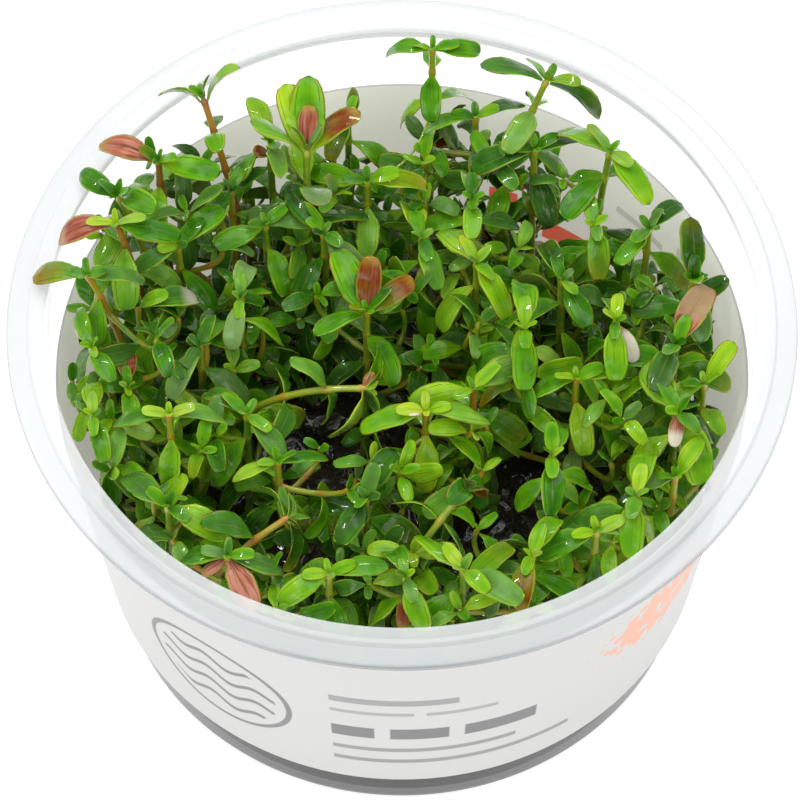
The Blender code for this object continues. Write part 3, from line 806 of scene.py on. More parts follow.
class Graph:
    """Makes the nodes of one tree."""

    def __init__(self, tree):
        self.tree = tree

    def node(self, kind, values=None, out=0, stops=None, **settings):
        """A node with its settings, then its sockets' values or links. Gives one output."""
        made = self.tree.nodes.new(kind)
        for name, value in settings.items():
            setattr(made, name, value)
        if stops:
            ramp = made.color_ramp
            while len(ramp.elements) < len(stops):
                ramp.elements.new(0.5)
            for element, (place, colour) in zip(ramp.elements, stops):
                element.position = place
                element.color = (*colour, 1)
        for key, value in (values or {}).items():
            if isinstance(value, Wire):
                self.tree.links.new(value.socket, made.inputs[key])
            else:
                made.inputs[key].default_value = value
        return Wire(self, made.outputs[out])

    def calculate(self, operation, *terms):
        vectors = [isinstance(t, (tuple, Vector)) or isinstance(t, Wire) and t.is_vector for t in terms]
        if not any(vectors):
            return self.node("ShaderNodeMath", dict(enumerate(terms)), operation=operation)
        if operation == "MULTIPLY" and not all(vectors):
            vector, scale = terms if vectors[0] else reversed(terms)
            return self.node("ShaderNodeVectorMath", {0: vector, "Scale": scale}, operation="SCALE")
        return self.node("ShaderNodeVectorMath", dict(enumerate(terms)), operation=operation)

    def sine(self, value):
        return self.calculate("SINE", value)

    def cosine(self, value):
        return self.calculate("COSINE", value)

    def larger(self, a, b):
        return self.calculate("MAXIMUM", a, b)

    def smaller(self, a, b):
        return self.calculate("MINIMUM", a, b)

    def step(self, value, start, end, low=0.0, high=1.0):
        """Goes smoothly from low to high as the value goes from start to end."""
        values = {"Value": value, "From Min": start, "From Max": end, "To Min": low, "To Max": high}
        return self.node("ShaderNodeMapRange", values, interpolation_type="SMOOTHSTEP")

    def mix(self, share, first, second):
        """A colour between two colours."""
        ends = [c if isinstance(c, Wire) else (*c, 1) for c in (first, second)]
        values = {0: share, 6: ends[0], 7: ends[1]}
        return self.node("ShaderNodeMix", values, out=2, data_type="RGBA")


class Form(Graph):
    """A geometry tree with named inputs."""

    def __init__(self, name, inputs):
        super().__init__(bpy.data.node_groups.new(name, "GeometryNodeTree"))
        sockets = self.tree.interface
        for title, kind in ({"Geometry": "Geometry"} | inputs).items():
            sockets.new_socket(title, in_out="INPUT", socket_type=f"NodeSocket{kind}")
        sockets.new_socket("Geometry", in_out="OUTPUT", socket_type="NodeSocketGeometry")
        self.entry = self.tree.nodes.new("NodeGroupInput")

    def given(self, title):
        return Wire(self, self.entry.outputs[title])

    def attribute(self, name, kind="FLOAT"):
        return self.node("GeometryNodeInputNamedAttribute", {"Name": name}, data_type=kind)

    def store(self, geometry, name, value):
        values = {"Geometry": geometry, "Name": name, "Value": value}
        return self.node("GeometryNodeStoreNamedAttribute", values, data_type="FLOAT", domain="POINT")

    def surface(self, geometry, finish):
        """The geometry shaded smooth, in the material of the input with this title."""
        smooth = {"Geometry": geometry, "Shade Smooth": True}
        smooth = self.node("GeometryNodeSetShadeSmooth", smooth)
        return self.node("GeometryNodeSetMaterial", {"Geometry": smooth, "Material": self.given(finish)})

    def finish(self, geometry):
        realized = self.node("GeometryNodeRealizeInstances", {"Geometry": geometry})
        exit_node = self.tree.nodes.new("NodeGroupOutput")
        self.tree.links.new(realized.socket, exit_node.inputs[0])


def shaped(obj, form, values):
    """The object's mesh after the geometry tree."""
    modifier = obj.modifiers.new("form", "NODES")
    modifier.node_group = form.tree
    for item in form.tree.interface.items_tree:
        if item.in_out == "INPUT" and item.name in values:
            modifier[item.identifier] = values[item.name]
    return evaluated_mesh(obj)


def evaluated_mesh(obj):
    """A plain mesh of the object with its modifiers applied. The object goes."""
    graph = bpy.context.evaluated_depsgraph_get()
    mesh = bpy.data.meshes.new_from_object(obj.evaluated_get(graph))
    bpy.data.objects.remove(obj)
    return mesh


# How fine the leaves and stems are made
BLADE_ROWS = 9
BLADE_SIDES = 8
BLADE_HALF_THICKNESS = 0.00013
STEM_SIDES = 8
STEM_RING = 0.0006
TIP_MERGE = 0.000008

# A leaf's outline is an oval this full and this round at its ends, narrower towards its root, with
# an edge that waves by this share of its half width
OVAL_FULLNESS = 2.5
OVAL_ROUNDNESS = 0.42
ROOT_WIDTH = 0.45
STALK_WIDTH = 0.16
EDGE_WAVE = 0.16

# A stem's thickness, as a share of the solid's: at the tip, what it gains down to the foot and at
# each node, and how thick side shoots are beside it. Its foot goes this deep into the gel.
STEM_AT_TIP = 0.80
STEM_GROWS = 0.20
NODE_SWELLS = 0.22
SIDE_SHOOT_WIDTH = 0.75
FOOT_DEPTH = 0.0022


def blade_blank(form):
    """A closed flat sleeve, one unit long, that knows how far along and across a leaf it is."""
    line = form.node("GeometryNodeCurvePrimitiveLine", {"Start": (0, 0, 0), "End": (0, 0, 1)})
    line = form.node("GeometryNodeResampleCurve", {"Curve": line, "Count": form.given("Blade rows")})
    ring = {"Resolution": form.given("Blade sides"), "Radius": 1}
    ring = form.node("GeometryNodeCurvePrimitiveCircle", ring)
    sleeve = {"Curve": line, "Profile Curve": ring, "Fill Caps": True}
    blank = form.node("GeometryNodeCurveToMesh", sleeve)
    place = form.node("GeometryNodeInputPosition")
    for name, axis in (("across", 0), ("face", 1)):
        value = form.node("ShaderNodeSeparateXYZ", {"Vector": place}, out=axis)
        if name == "across":
            value = value * form.larger(abs(value), 0.01) ** -0.5
        blank = form.store(blank, name, value)
    even = form.node("ShaderNodeSeparateXYZ", {"Vector": place}, out=2)
    closer_at_tip = 1 - form.larger(1 - even, 0) ** 1.5
    return form.store(blank, "along", closer_at_tip)


def blade_place(form):
    """Where each point of a leaf goes: along the bent midrib, out to the rounded edge, folded a
    little at the midrib, rolled down at the edge and twisted towards the tip."""
    along, across, face = (form.attribute(name) for name in ("along", "across", "face"))
    root, control, end, side = (
        form.attribute(name, "FLOAT_VECTOR") for name in ("root", "control", "end", "side")
    )
    half_width, spread, fold, roll, twist, seed, bow, sway = (
        form.attribute(name)
        for name in ("half_width", "spread", "fold", "roll", "twist", "seed", "bow", "sway")
    )
    rest = 1 - along
    middle = root * (rest * rest) + control * (2 * along * rest) + end * (along * along)
    heading = (control - root) * rest + (end - control) * along
    heading = form.node("ShaderNodeVectorMath", {0: heading}, operation="NORMALIZE")
    upper = form.calculate("CROSS_PRODUCT", heading, side)
    turn = twist * form.larger(along, 0) ** 0.6
    cosine, sine = form.cosine(turn), form.sine(turn)
    out = side * cosine + upper * sine
    above = upper * cosine - side * sine
    oval = form.larger(1 - abs(2 * along**spread - 1) ** OVAL_FULLNESS, 0) ** OVAL_ROUNDNESS
    taper = form.smaller(ROOT_WIDTH + along * 1.4, 1)
    width = half_width * form.larger(oval * taper, STALK_WIDTH * rest)
    reach = abs(across)
    wave = EDGE_WAVE * form.sine(along * 7 + seed * 40 + across * 2) * reach * reach
    lift = width * (fold * reach - roll * reach**3 + wave) - form.attribute("curl") * along**3
    lift = lift + bow * along * rest
    thick = form.given("Thickness") * face * (1 - 0.5 * reach * reach) * form.larger(rest, 0) ** 0.5
    return middle + out * (width * across + sway * along * along) + above * (lift + thick)


def plantlet_form():
    """Stems swept along the guide's edges and a leaf on each of its loose points."""
    form = Form(
        "plantlet",
        {
            "Blade rows": "Int", "Blade sides": "Int", "Thickness": "Float", "Stem sides": "Int",
            "Leaf finish": "Material", "Stem finish": "Material",
        },
    )
    guide = {"Geometry": form.given("Geometry"), "Selection": form.attribute("is_leaf")}
    split = form.node("GeometryNodeSeparateGeometry", guide, domain="POINT")
    node = split.socket.node
    blades = form.node(
        "GeometryNodeInstanceOnPoints",
        {"Points": Wire(form, node.outputs["Selection"]), "Instance": blade_blank(form)},
    )
    blades = form.node("GeometryNodeRealizeInstances", {"Geometry": blades})
    blades = form.node("GeometryNodeSetPosition", {"Geometry": blades, "Position": blade_place(form)})
    blades = form.node("GeometryNodeMergeByDistance", {"Geometry": blades, "Distance": TIP_MERGE})
    blades = form.surface(blades, "Leaf finish")
    line = form.node("GeometryNodeMeshToCurve", {"Mesh": Wire(form, node.outputs["Inverted"])})
    ring = form.node(
        "GeometryNodeCurvePrimitiveCircle", {"Resolution": form.given("Stem sides"), "Radius": 1}
    )
    sweep = {"Curve": line, "Profile Curve": ring, "Scale": form.attribute("thick"), "Fill Caps": True}
    stems = form.surface(form.node("GeometryNodeCurveToMesh", sweep), "Stem finish")
    joined = form.node("GeometryNodeJoinGeometry", {"Geometry": blades})
    form.tree.links.new(stems.socket, joined.socket.node.inputs["Geometry"])
    form.finish(joined)
    return form


class Guide:
    """The points that a plantlet's geometry tree follows, with what each point knows."""

    NUMBERS = (
        "is_leaf", "thick", "joint", "rust", "half_width", "spread", "fold", "roll", "twist",
        "curl", "bow", "sway", "tone", "blush", "grey", "bleach", "seed",
    )
    VECTORS = ("root", "control", "end", "side")

    def __init__(self):
        self.points = []
        self.edges = []
        self.known = []

    def line(self, points, thicknesses, joints, **known):
        """A chain of points that a stem is swept along."""
        first = len(self.points)
        for point, thick, joint in zip(points, thicknesses, joints):
            self.points.append(point)
            self.known.append(known | {"thick": thick, "joint": joint})
        self.edges += [(i, i + 1) for i in range(first, len(self.points) - 1)]

    def leaf(self, blade, look):
        """A loose point at a leaf's root, which knows the leaf's curve and its look."""
        self.points.append(blade.root)
        size = look["size"]
        end = blade.root.lerp(blade.tip, size)
        control = blade.root.lerp(blade.middle, size) * 2 - (blade.root + end) / 2
        place = {"root": blade.root, "control": control, "end": end, "side": blade.side}
        half_width = blade.half_width * FULLNESS * size
        self.known.append(look | place | {"is_leaf": 1, "half_width": half_width})

    def make(self, name):
        mesh = bpy.data.meshes.new(name)
        mesh.from_pydata(self.points, self.edges, [])
        for key in self.NUMBERS:
            layer = mesh.attributes.new(key, "FLOAT", "POINT")
            layer.data.foreach_set("value", [known.get(key, 0) for known in self.known])
        for key in self.VECTORS:
            layer = mesh.attributes.new(key, "FLOAT_VECTOR", "POINT")
            flat = [c for known in self.known for c in known.get(key, (0, 0, 0))]
            layer.data.foreach_set("vector", flat)
        return put(name, mesh)


def stem_line(guide, stem, foot_depth, thickness, rust, tone):
    """A stem's points from the gel to the tip, thicker at each node, where it is also browner."""
    nodes = list(stem.nodes())
    distance = max(nodes) + LOWER_INTERNODE
    while distance < stem.length:
        nodes.append(distance)
        distance += LOWER_INTERNODE
    points, thicknesses, joints = [], [], []
    steps = round(stem.length / STEM_RING)
    for i in range(steps + 1):
        distance = stem.length * (1 - i / steps)
        centre = stem.at(distance)[0]
        joint = max(math.exp(-(((distance - node) / (NODE_HEIGHT * 0.55)) ** 2)) for node in nodes)
        points.append(centre)
        lower = distance / stem.length
        thicknesses.append(thickness * (STEM_AT_TIP + STEM_GROWS * lower + NODE_SWELLS * joint))
        joints.append(joint)
    if foot_depth:
        points.insert(0, points[0] - Vector((0, 0, foot_depth)))
        thicknesses.insert(0, thicknesses[0])
        joints.insert(0, 0)
    thicknesses[-1] *= 0.5
    guide.line(points, thicknesses, joints, rust=rust, tone=tone)


def make_plantlets(plantlets, leaf_finish, stem_finish):
    """One piece a plantlet: its stem, side shoots, roots and all its leaves."""
    form = plantlet_form()
    values = {
        "Blade rows": BLADE_ROWS, "Blade sides": BLADE_SIDES, "Thickness": BLADE_HALF_THICKNESS,
        "Stem sides": STEM_SIDES, "Leaf finish": leaf_finish, "Stem finish": stem_finish,
    }
    for number, plantlet in enumerate(plantlets, 1):
        rng = random.Random(SEED + number)
        guide = Guide()
        rust = RUST.get(number, rng.uniform(0.0, 0.4))
        half = STEM_WIDTH / 2
        stem_line(guide, plantlet.stem, FOOT_DEPTH, half, rust, plantlet.tone)
        for side in plantlet.side_shoots:
            rust = rng.uniform(0.0, 0.4)
            stem_line(guide, side, 0, half * SIDE_SHOOT_WIDTH, rust, plantlet.tone)
        for points, width, rust in plantlet.roots:
            guide.line(points, [width / 2] * len(points), [0] * len(points), rust=rust, tone=1)
        for blade, look in plantlet.leaves:
            guide.leaf(blade, look)
        name = f"plantlet_{number:02d}"
        mesh = shaped(guide.make("guide"), form, values)
        add_piece(name, mesh, f"leaf_{plantlet.stem.shoot.tone}", f"shoot_{number:02d}")


def add_piece(name, mesh, slot, *nodes):
    """A finished piece that stands for nodes of the solid model."""
    mesh.name = name
    piece = put(name, mesh)
    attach(piece, "root")
    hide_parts(*nodes)


def turned(profile):
    """The mesh of a closed profile of (radius, height) points turned about the axis."""
    outline = bpy.data.meshes.new("outline")
    ends = len(profile) if profile[0][0] > 0 else len(profile) - 1
    edges = [(i, (i + 1) % len(profile)) for i in range(ends)]
    outline.from_pydata([(radius, 0, height) for radius, height in profile], edges, [])
    guide = put("guide", outline)
    screw = guide.modifiers.new("turn", "SCREW")
    screw.steps = screw.render_steps = ROUND_STEPS
    screw.use_merge_vertices = True
    screw.merge_threshold = POLE_MERGE
    mesh = evaluated_mesh(guide)
    mesh.shade_smooth()
    mesh.set_sharp_from_angle(angle=math.radians(SMOOTH_BELOW))
    return mesh


def arc(centre, size, start, end, steps=6):
    """Points of a rounded corner, from one angle to another in degrees."""
    for i in range(steps + 1):
        angle = math.radians(start + (end - start) * i / steps)
        yield centre[0] + size * math.cos(angle), centre[1] + size * math.sin(angle)


def cup_profile():
    """Points of the cup's wall, up its inside, over the rim and down its outside."""
    inner_base = wall_radius(FLOOR) - WALL
    inner_corner = BASE_CORNER - WALL / 2
    land = MOUTH_RADIUS + RIM_LAND
    low = CUP_HEIGHT - RIM_STEP
    mouth_bottom = SHOULDER_HEIGHT + 1.5 * MOUTH_STEP
    mouth_outer = SHOULDER_RADIUS + MOUTH_STEP
    lip = RIM_EDGE
    return (
        (0, FLOOR),
        *arc((inner_base - inner_corner, FLOOR + inner_corner), inner_corner, -90, 0),
        (SHOULDER_RADIUS - WALL, SHOULDER_HEIGHT),
        (mouth_outer - WALL, mouth_bottom),
        *arc((MOUTH_RADIUS + lip, CUP_HEIGHT - lip), lip, 180, 90),
        *arc((land - lip / 2, CUP_HEIGHT - lip / 2), lip / 2, 90, 20, 3),
        (land + RIM_STEP / 2, low),
        *arc((RIM_RADIUS - lip, low - lip), lip, 90, 0),
        *arc((RIM_RADIUS - lip, CUP_HEIGHT - RIM_THICKNESS + lip), lip, 0, -90),
        (MOUTH_RADIUS + WALL, CUP_HEIGHT - RIM_THICKNESS),
        (mouth_outer, mouth_bottom),
        (SHOULDER_RADIUS, SHOULDER_HEIGHT),
        *arc((BASE_RADIUS - BASE_CORNER, BASE_CORNER), BASE_CORNER, 0, -90),
        (0, 0),
    )


def make_cup(finish):
    """The clear cup, turned smooth."""
    mesh = turned(cup_profile())
    mesh.materials.append(finish)
    add_piece("growing_cup", mesh, "clear_plastic", "cup")


def make_label(front, back):
    """The band: its outer face is printed, and the print shows through faintly inside."""
    inner = [(wall_radius(height) + GAP, height) for height in (LABEL_BOTTOM, LABEL_TOP)]
    outer = [(radius + LABEL_THICKNESS, height) for radius, height in reversed(inner)]
    mesh = turned((*inner, *outer))
    mesh.materials.append(front)
    mesh.materials.append(back)
    for face in mesh.polygons:
        inward = face.normal.x * face.center.x + face.normal.y * face.center.y < 0
        face.material_index = 1 if inward else 0
    add_piece("printed_band", mesh, "label_film", "label")


def gel_lump(x, y):
    """How far the lumpy top of the gel stands above or below its level."""
    ripple = math.sin(x * 310 + 1.1) * math.cos(y * 270 - 0.6)
    return GEL_LUMP * (0.6 * ripple + 0.4 * math.sin(x * 140 - y * 190 + 0.4))


def gel_crease(x, y):
    """The finer folds of the gel's skin: dents, sharp ridges and a fine grain."""
    coarse = noise.noise((x * 420, y * 420, 3.1))
    ridge = 1 - abs(noise.noise((x * 260, y * 260, 7.7))) * 2
    fine = noise.noise((x * 1300, y * 1300, 1.4))
    return GEL_DENT * coarse + GEL_RIDGE * max(ridge, 0) ** 4 + GEL_GRAIN * fine


def make_gel(finish):
    """The gel, with a fine lumpy skin on top."""
    edge = inner_radius(GEL_TOP) - GAP
    bottom = FLOOR + GAP
    corner = bottom + BASE_CORNER
    profile = [(edge * i / GEL_RINGS, GEL_TOP) for i in range(GEL_RINGS)]
    profile.append((edge, GEL_TOP - GEL_LUMP / 2))
    profile += [(inner_radius(corner) - GAP - WALL / 4, corner)]
    profile += [(inner_radius(bottom) - BASE_CORNER - GAP, bottom), (0, bottom)]
    mesh = turned(profile)
    for vertex in mesh.vertices:
        x, y, height = vertex.co
        if height > GEL_TOP - GEL_LUMP / 4:
            inwards = min((edge - math.hypot(x, y)) / GEL_SMOOTH_EDGE, 1)
            vertex.co.z += gel_lump(x, y) + gel_crease(x, y) * inwards
    mesh.materials.append(finish)
    add_piece("nutrient_gel", mesh, "gel", "gel")


class Finish(Graph):
    """A material and its shader."""

    def __init__(self, name):
        self.material = bpy.data.materials.new(name)
        self.material.use_nodes = True
        super().__init__(self.material.node_tree)
        self.shader = self.tree.nodes["Principled BSDF"]
        self.place = self.node("ShaderNodeTexCoord", out=3)

    def axes(self):
        """Metres to the right, to the back and up."""
        split = self.node("ShaderNodeSeparateXYZ", {0: self.place})
        return [Wire(self, output) for output in split.socket.node.outputs]

    def known(self, name):
        """A number that each point of the mesh knows."""
        return self.node("ShaderNodeAttribute", out=2, attribute_name=name)

    def ramp(self, share, stops):
        """A colour that passes through the stops' colours as the share goes from 0 to 1."""
        return self.node("ShaderNodeValToRGB", {0: share}, stops=stops)

    def cloud(self, scale, detail=3.0, place=None):
        """Noise from 0 to 1. scale is about how many of its blobs fit in a metre."""
        values = {"Vector": place or self.place, "Scale": scale, "Detail": detail}
        return self.node("ShaderNodeTexNoise", values)

    def relief(self, height, depth, strength):
        """A normal that follows a height from 0 to 1, which stands for this depth."""
        values = {"Height": height, "Distance": depth, "Strength": strength}
        return self.node("ShaderNodeBump", values)

    def set(self, values):
        """Sets or links the shader's sockets. Gives the finished material."""
        for name, value in values.items():
            socket = self.shader.inputs[name]
            if isinstance(value, Wire):
                self.tree.links.new(value.socket, socket)
            else:
                socket.default_value = (*value, 1) if isinstance(value, tuple) else value
        return self.material


# Colours of the leaves, the stems and the gel. A ramp's stops go from dark to light, from flushed
# to deep red and on to pink, or from green to brown.
GREENS = (
    (0.0, (0.012, 0.058, 0.002)), (0.28, (0.034, 0.165, 0.003)), (0.5, (0.098, 0.31, 0.004)),
    (0.75, (0.24, 0.46, 0.008)), (1.0, (0.42, 0.55, 0.025)),
)
BLUSHES = (
    (0.0, (0.22, 0.21, 0.014)), (0.28, (0.27, 0.085, 0.004)), (0.52, (0.16, 0.018, 0.002)),
    (0.76, (0.34, 0.09, 0.055)), (1.0, (0.52, 0.21, 0.14)),
)
STEM_COLOURS = (
    (0.0, (0.075, 0.21, 0.007)), (0.35, (0.33, 0.37, 0.016)), (0.65, (0.48, 0.19, 0.018)),
    (1.0, (0.24, 0.05, 0.018)),
)
GEL_COLOURS = ((0.3, (0.010, 0.011, 0.006)), (0.7, (0.050, 0.042, 0.022)))
YOUNG_STEM = (0.34, 0.55, 0.03)
MIDRIB = (0.28, 0.40, 0.03)
UNDERSIDE = (0.22, 0.31, 0.05)
DUSTY = (0.24, 0.36, 0.13)
# Dark of the veins, and painted shade in the creases, of red leaves
DARK_VEIN_AND_CREASE_SHADE = (0.09, 0.018, 0.010)
GOLD_EDGE = (0.34, 0.24, 0.016)
BRIGHT_EDGE = (0.38, 0.50, 0.05)
RED_EDGE = (0.40, 0.12, 0.025)
FADED = (0.60, 0.55, 0.43)
FADED_DUSTY = (0.34, 0.22, 0.11)
WAX = (0.55, 1.0, 0.35)


def leaf_green(leaf, along, reach, streak, mottle, midrib, inner):
    """Green of the leaf's own tone, lighter at its root, with painted shade in its cupped middle that
    lifts to lighter at its edge, painted shade along a ridge inside the edge, and paler below.
    """
    tone, grey, face = (leaf.known(name) for name in ("tone", "grey", "face"))
    young = leaf.step(along, 0.35, 0.0, 0, 0.20)
    # cupped_shade is painted shade in the cupped middle, lighter towards the edge; inner is painted
    # shade along a ridge
    cupped_shade = leaf.step(reach, 0.2, 0.9, -0.08, 0.06)
    shade = tone + (mottle - 0.5) * 0.6 + (streak - 0.5) * 0.14 + young + cupped_shade - inner * 0.42
    green = leaf.mix(midrib * 0.25, leaf.ramp(shade, GREENS), MIDRIB)
    green = leaf.mix(leaf.step(face, 0.1, -0.3, 0, 0.4), green, UNDERSIDE)
    return leaf.mix(grey * 0.6, green, DUSTY)


def leaf_red(leaf, along, reach, streak, mottle, midrib, inner):
    """Brown, red or pink, as deep as the leaf's blush, with dark veins and painted shade in its creases,
    and a golden edge.
    """
    depth = leaf.known("blush") * 0.8 + (streak - 0.5) * 0.6 + (mottle - 0.5) * 0.4
    crease = leaf.smaller(inner * 0.7 + leaf.step(streak, 0.42, 0.34) * 0.4 + midrib * 0.6, 0.8)
    red = leaf.mix(crease, leaf.ramp(depth, BLUSHES), DARK_VEIN_AND_CREASE_SHADE)
    return leaf.mix(leaf.step(leaf.larger(reach, along), 0.78, 1.0) * 0.75, red, GOLD_EDGE)


def leaf_finish():
    """Waxy wet leaf, with painted shade in its cupped middle and along a ridge inside its edge, and a
    thin bright edge that is red at some tips.
    Some leaves are red with dark veins and painted shade in their creases, and some have faded tips."""
    leaf = Finish("living_leaf")
    along, across, seed = (leaf.known(name) for name in ("along", "across", "seed"))
    blush, grey, bleach = (leaf.known(name) for name in ("blush", "grey", "bleach"))
    reach = abs(across)
    lengthwise = leaf.node("ShaderNodeCombineXYZ", {0: across * 3.2, 1: along * 1.3, 2: seed * 60})
    streak = leaf.cloud(1.6, 1, lengthwise)
    mottle = leaf.cloud(320, 1)
    midrib = leaf.step(reach, 0.08, 0.02) * leaf.step(along, 1.0, 0.5)
    # inner is a painted shade line along a raised ridge just inside the edge
    inner = leaf.step(abs(reach - 0.70), 0.055, 0.0) * leaf.step(along, 1.0, 0.85)
    inner = inner * leaf.step(mottle, 0.38, 0.56)
    green = leaf_green(leaf, along, reach, streak, mottle, midrib, inner)
    red = leaf_red(leaf, along, reach, streak, mottle, midrib, inner)
    flush = blush * (0.45 + 0.8 * along + 0.7 * (mottle - 0.5))
    colour = leaf.mix(leaf.step(flush, 0.15, 0.6), green, red)
    faded = leaf.step(along + bleach * 0.6, 1.1, 1.35)
    pale = leaf.mix(grey, FADED, FADED_DUSTY)
    colour = leaf.mix(leaf.smaller(bleach, 1) * faded, colour, pale)
    tip = leaf.step(along, 0.90, 0.99)
    rim = leaf.step(reach + 0.3 * tip, 0.86, 0.96) * leaf.step(mottle, 0.26, 0.52)
    margin = leaf.mix(leaf.step(along, 0.5, 0.95) * leaf.step(seed, 0.45, 0.6), BRIGHT_EDGE, RED_EDGE)
    colour = leaf.mix(rim * 0.80, colour, margin)
    wet = leaf.step(leaf.cloud(520, 0), 0.42, 0.58)
    spots = leaf.node("ShaderNodeTexVoronoi", {"Vector": leaf.place, "Scale": 1500})
    bead = leaf.step(spots, 0.38, 0.05) * wet
    height = streak * 0.3 - midrib * 0.4 + mottle * 1.9 + leaf.cloud(1300, 0) * 0.3
    return leaf.set({
        "Base Color": colour, "Roughness": 0.34 - 0.16 * wet, "Coat Weight": wet * 0.55 + bead * 0.45,
        "Coat Roughness": 0.05, "Specular IOR Level": 0.17, "Specular Tint": WAX,
        "Normal": leaf.relief(height, 0.00024, 0.8),
    })


def stem_finish():
    """Juicy stem: green between the nodes, orange-brown at them."""
    stem = Finish("living_stem")
    joint, rust, tone = (stem.known(name) for name in ("joint", "rust", "tone"))
    streak = stem.cloud(900)
    share = rust + joint * 0.3 + (streak - 0.5) * 0.4
    colour = stem.ramp(share, STEM_COLOURS)
    grain = stem.relief(streak, 0.00012, 0.5)
    return stem.set({
        "Base Color": stem.mix(tone * 0.15, colour, YOUNG_STEM), "Roughness": 0.32,
        "Coat Weight": 0.5, "Coat Roughness": 0.08, "Normal": grain,
    })


def gel_finish():
    """Dark agar with a wet skin."""
    gel = Finish("nutrient_gel")
    cloud = gel.cloud(160, 3)
    colour = gel.ramp(cloud, GEL_COLOURS)
    skin = gel.relief(gel.cloud(900, 2), 0.0006, 0.9)
    return gel.set({
        "Base Color": colour, "Roughness": 0.10 + 0.10 * cloud, "Coat Weight": 1.0,
        "Coat Roughness": 0.03, "Specular IOR Level": 0.15, "Normal": skin,
    })


# Colours of the plastic: its milky rim, painted shade on the rim's turned-down skirt, and a foot painted
# dark for the dark gel and its shade behind it
CUP_MILKY = (0.78, 0.80, 0.81)
CUP_HAZE = (0.81, 0.83, 0.84)
CUP_SKIRT_SHADE = (0.33, 0.36, 0.37)
CUP_FOOT_SHADE = (0.028, 0.028, 0.026)


def cup_finish():
    """Thin clear plastic, milky on the rim, with painted shade on its turned-down skirt, and painted
    dark round the gel's foot for the dark gel and its shade behind it.
    """
    cup = Finish("clear_plastic")
    haze = cup.cloud(90, 0)
    edge_on = cup.node("ShaderNodeLayerWeight", {"Blend": 0.35}, out=1)
    x, y, height = cup.axes()
    foot = cup.step(height, FOOT_TOP, FOOT_FULL_AT)
    flange = cup.step(x * x + y * y, (MOUTH_RADIUS - GAP) ** 2, (MOUTH_RADIUS + GAP) ** 2)
    flange = flange * cup.step(height, CUP_HEIGHT - MILKY_FADES_BY, CUP_HEIGHT - MILKY_DOWN_TO)
    skirt_shade = cup.step(height, CUP_HEIGHT - SKIRT_STARTS, CUP_HEIGHT - SKIRT_FULL_AT)
    milky = cup.mix(haze, CUP_MILKY, CUP_HAZE)
    # painted shade on the rim's turned-down skirt
    milky = cup.mix(flange * skirt_shade, milky, CUP_SKIRT_SHADE)
    clear = 0.05 + 0.14 * edge_on
    return cup.set({
        # the foot is painted dark for the dark gel and its shade seen through the clear plastic
        "Base Color": cup.mix(foot, milky, CUP_FOOT_SHADE),
        "Alpha": clear + 0.5 * foot + 0.46 * flange, "Roughness": 0.14 + 0.08 * haze,
        "Coat Weight": 0.5 - 0.45 * foot, "Coat Roughness": 0.05, "Specular IOR Level": 0.3,
        "Normal": cup.relief(haze, 0.0003, 0.15),
    })


# Printed band, in millimetres round the wall from the front and up from the base: plain bars
# with their weight, a round badge of waves and a spray of coral ovals
BARS = (
    (-9.0, 7.0, 34.8, 36.6, 0.55), (-9.0, 1.5, 31.4, 32.4, 0.45), (3.0, 12.0, 31.4, 32.4, 0.45),
    (-9.0, -3.5, 23.6, 27.0, 0.8), (-1.5, 6.0, 23.6, 27.0, 0.8), (8.0, 17.5, 23.6, 27.0, 0.8),
    (-9.0, 15.0, 19.2, 20.4, 0.6), (-9.0, 23.0, 15.4, 16.6, 0.6),
)
BADGE = (-25.0, 27.0, 10.5)
BADGE_LINE = (0.5, 0.3)
BADGE_MARGIN = (1.6, 1.9)
BADGE_WEIGHT = 0.75
WAVES = (21.0, 25.0, 29.0, 33.0)
WAVE_RISE = 0.9
WAVE_TURNS = 0.9
WAVE_LINE = (0.65, 0.4)
SPRAY = (37.0, 33.0, 12.0, 8.0)
SPRAY_SPOTS = 0.55
PRINT_EDGE = 0.12
BACK_CORAL = ((114.5, 118.5, 22.0, 28.4), (101.5, 110.5, 21.8, 25.4))
BACK_BARS = (
    (84.0, 85.4, 30.0, 38.0), (87.5, 88.9, 31.0, 39.0), (91.5, 100.0, 35.0, 36.2),
    (91.5, 98.0, 31.5, 32.7),
)

# Colours of the film and its inks, outside and inside. The inner paper is a lighter copy of the outer,
# painted light for the shaded inside of the cup.
PAPER = ((0.535, 0.535, 0.53), (0.59, 0.585, 0.575))
INK = (0.055, 0.055, 0.06)
CORAL = (0.82, 0.36, 0.22)
PAINTED_LIT_BACK_PAPER = ((0.88, 0.87, 0.78), (0.93, 0.92, 0.85))
BACK_INK = (0.22, 0.22, 0.21)
BACK_RED = (0.85, 0.09, 0.03)

# Painted glow on the film's inner face, standing in for daylight through the thin film
GLOW = 0.42


def bar(paint, s, z, left, right, low, high):
    """1 inside the bar, 0 outside it."""
    edge = PRINT_EDGE
    across = paint.step(s, left - edge, left + edge) * paint.step(s, right + edge, right - edge)
    return across * paint.step(z, low - edge, low + edge) * paint.step(z, high + edge, high - edge)


def badge(paint, s, z):
    """A ring with waves inside it."""
    centre, middle, radius = BADGE
    apart = paint.calculate("SQRT", (s - centre) * (s - centre) + (z - middle) * (z - middle))
    ink = paint.step(abs(apart - radius), *BADGE_LINE)
    inside = paint.step(apart, *(radius - margin for margin in BADGE_MARGIN))
    for height in WAVES:
        wave = abs(z - height - WAVE_RISE * paint.sine(s * WAVE_TURNS))
        ink = paint.larger(ink, paint.step(wave, *WAVE_LINE) * inside)
    return ink * BADGE_WEIGHT


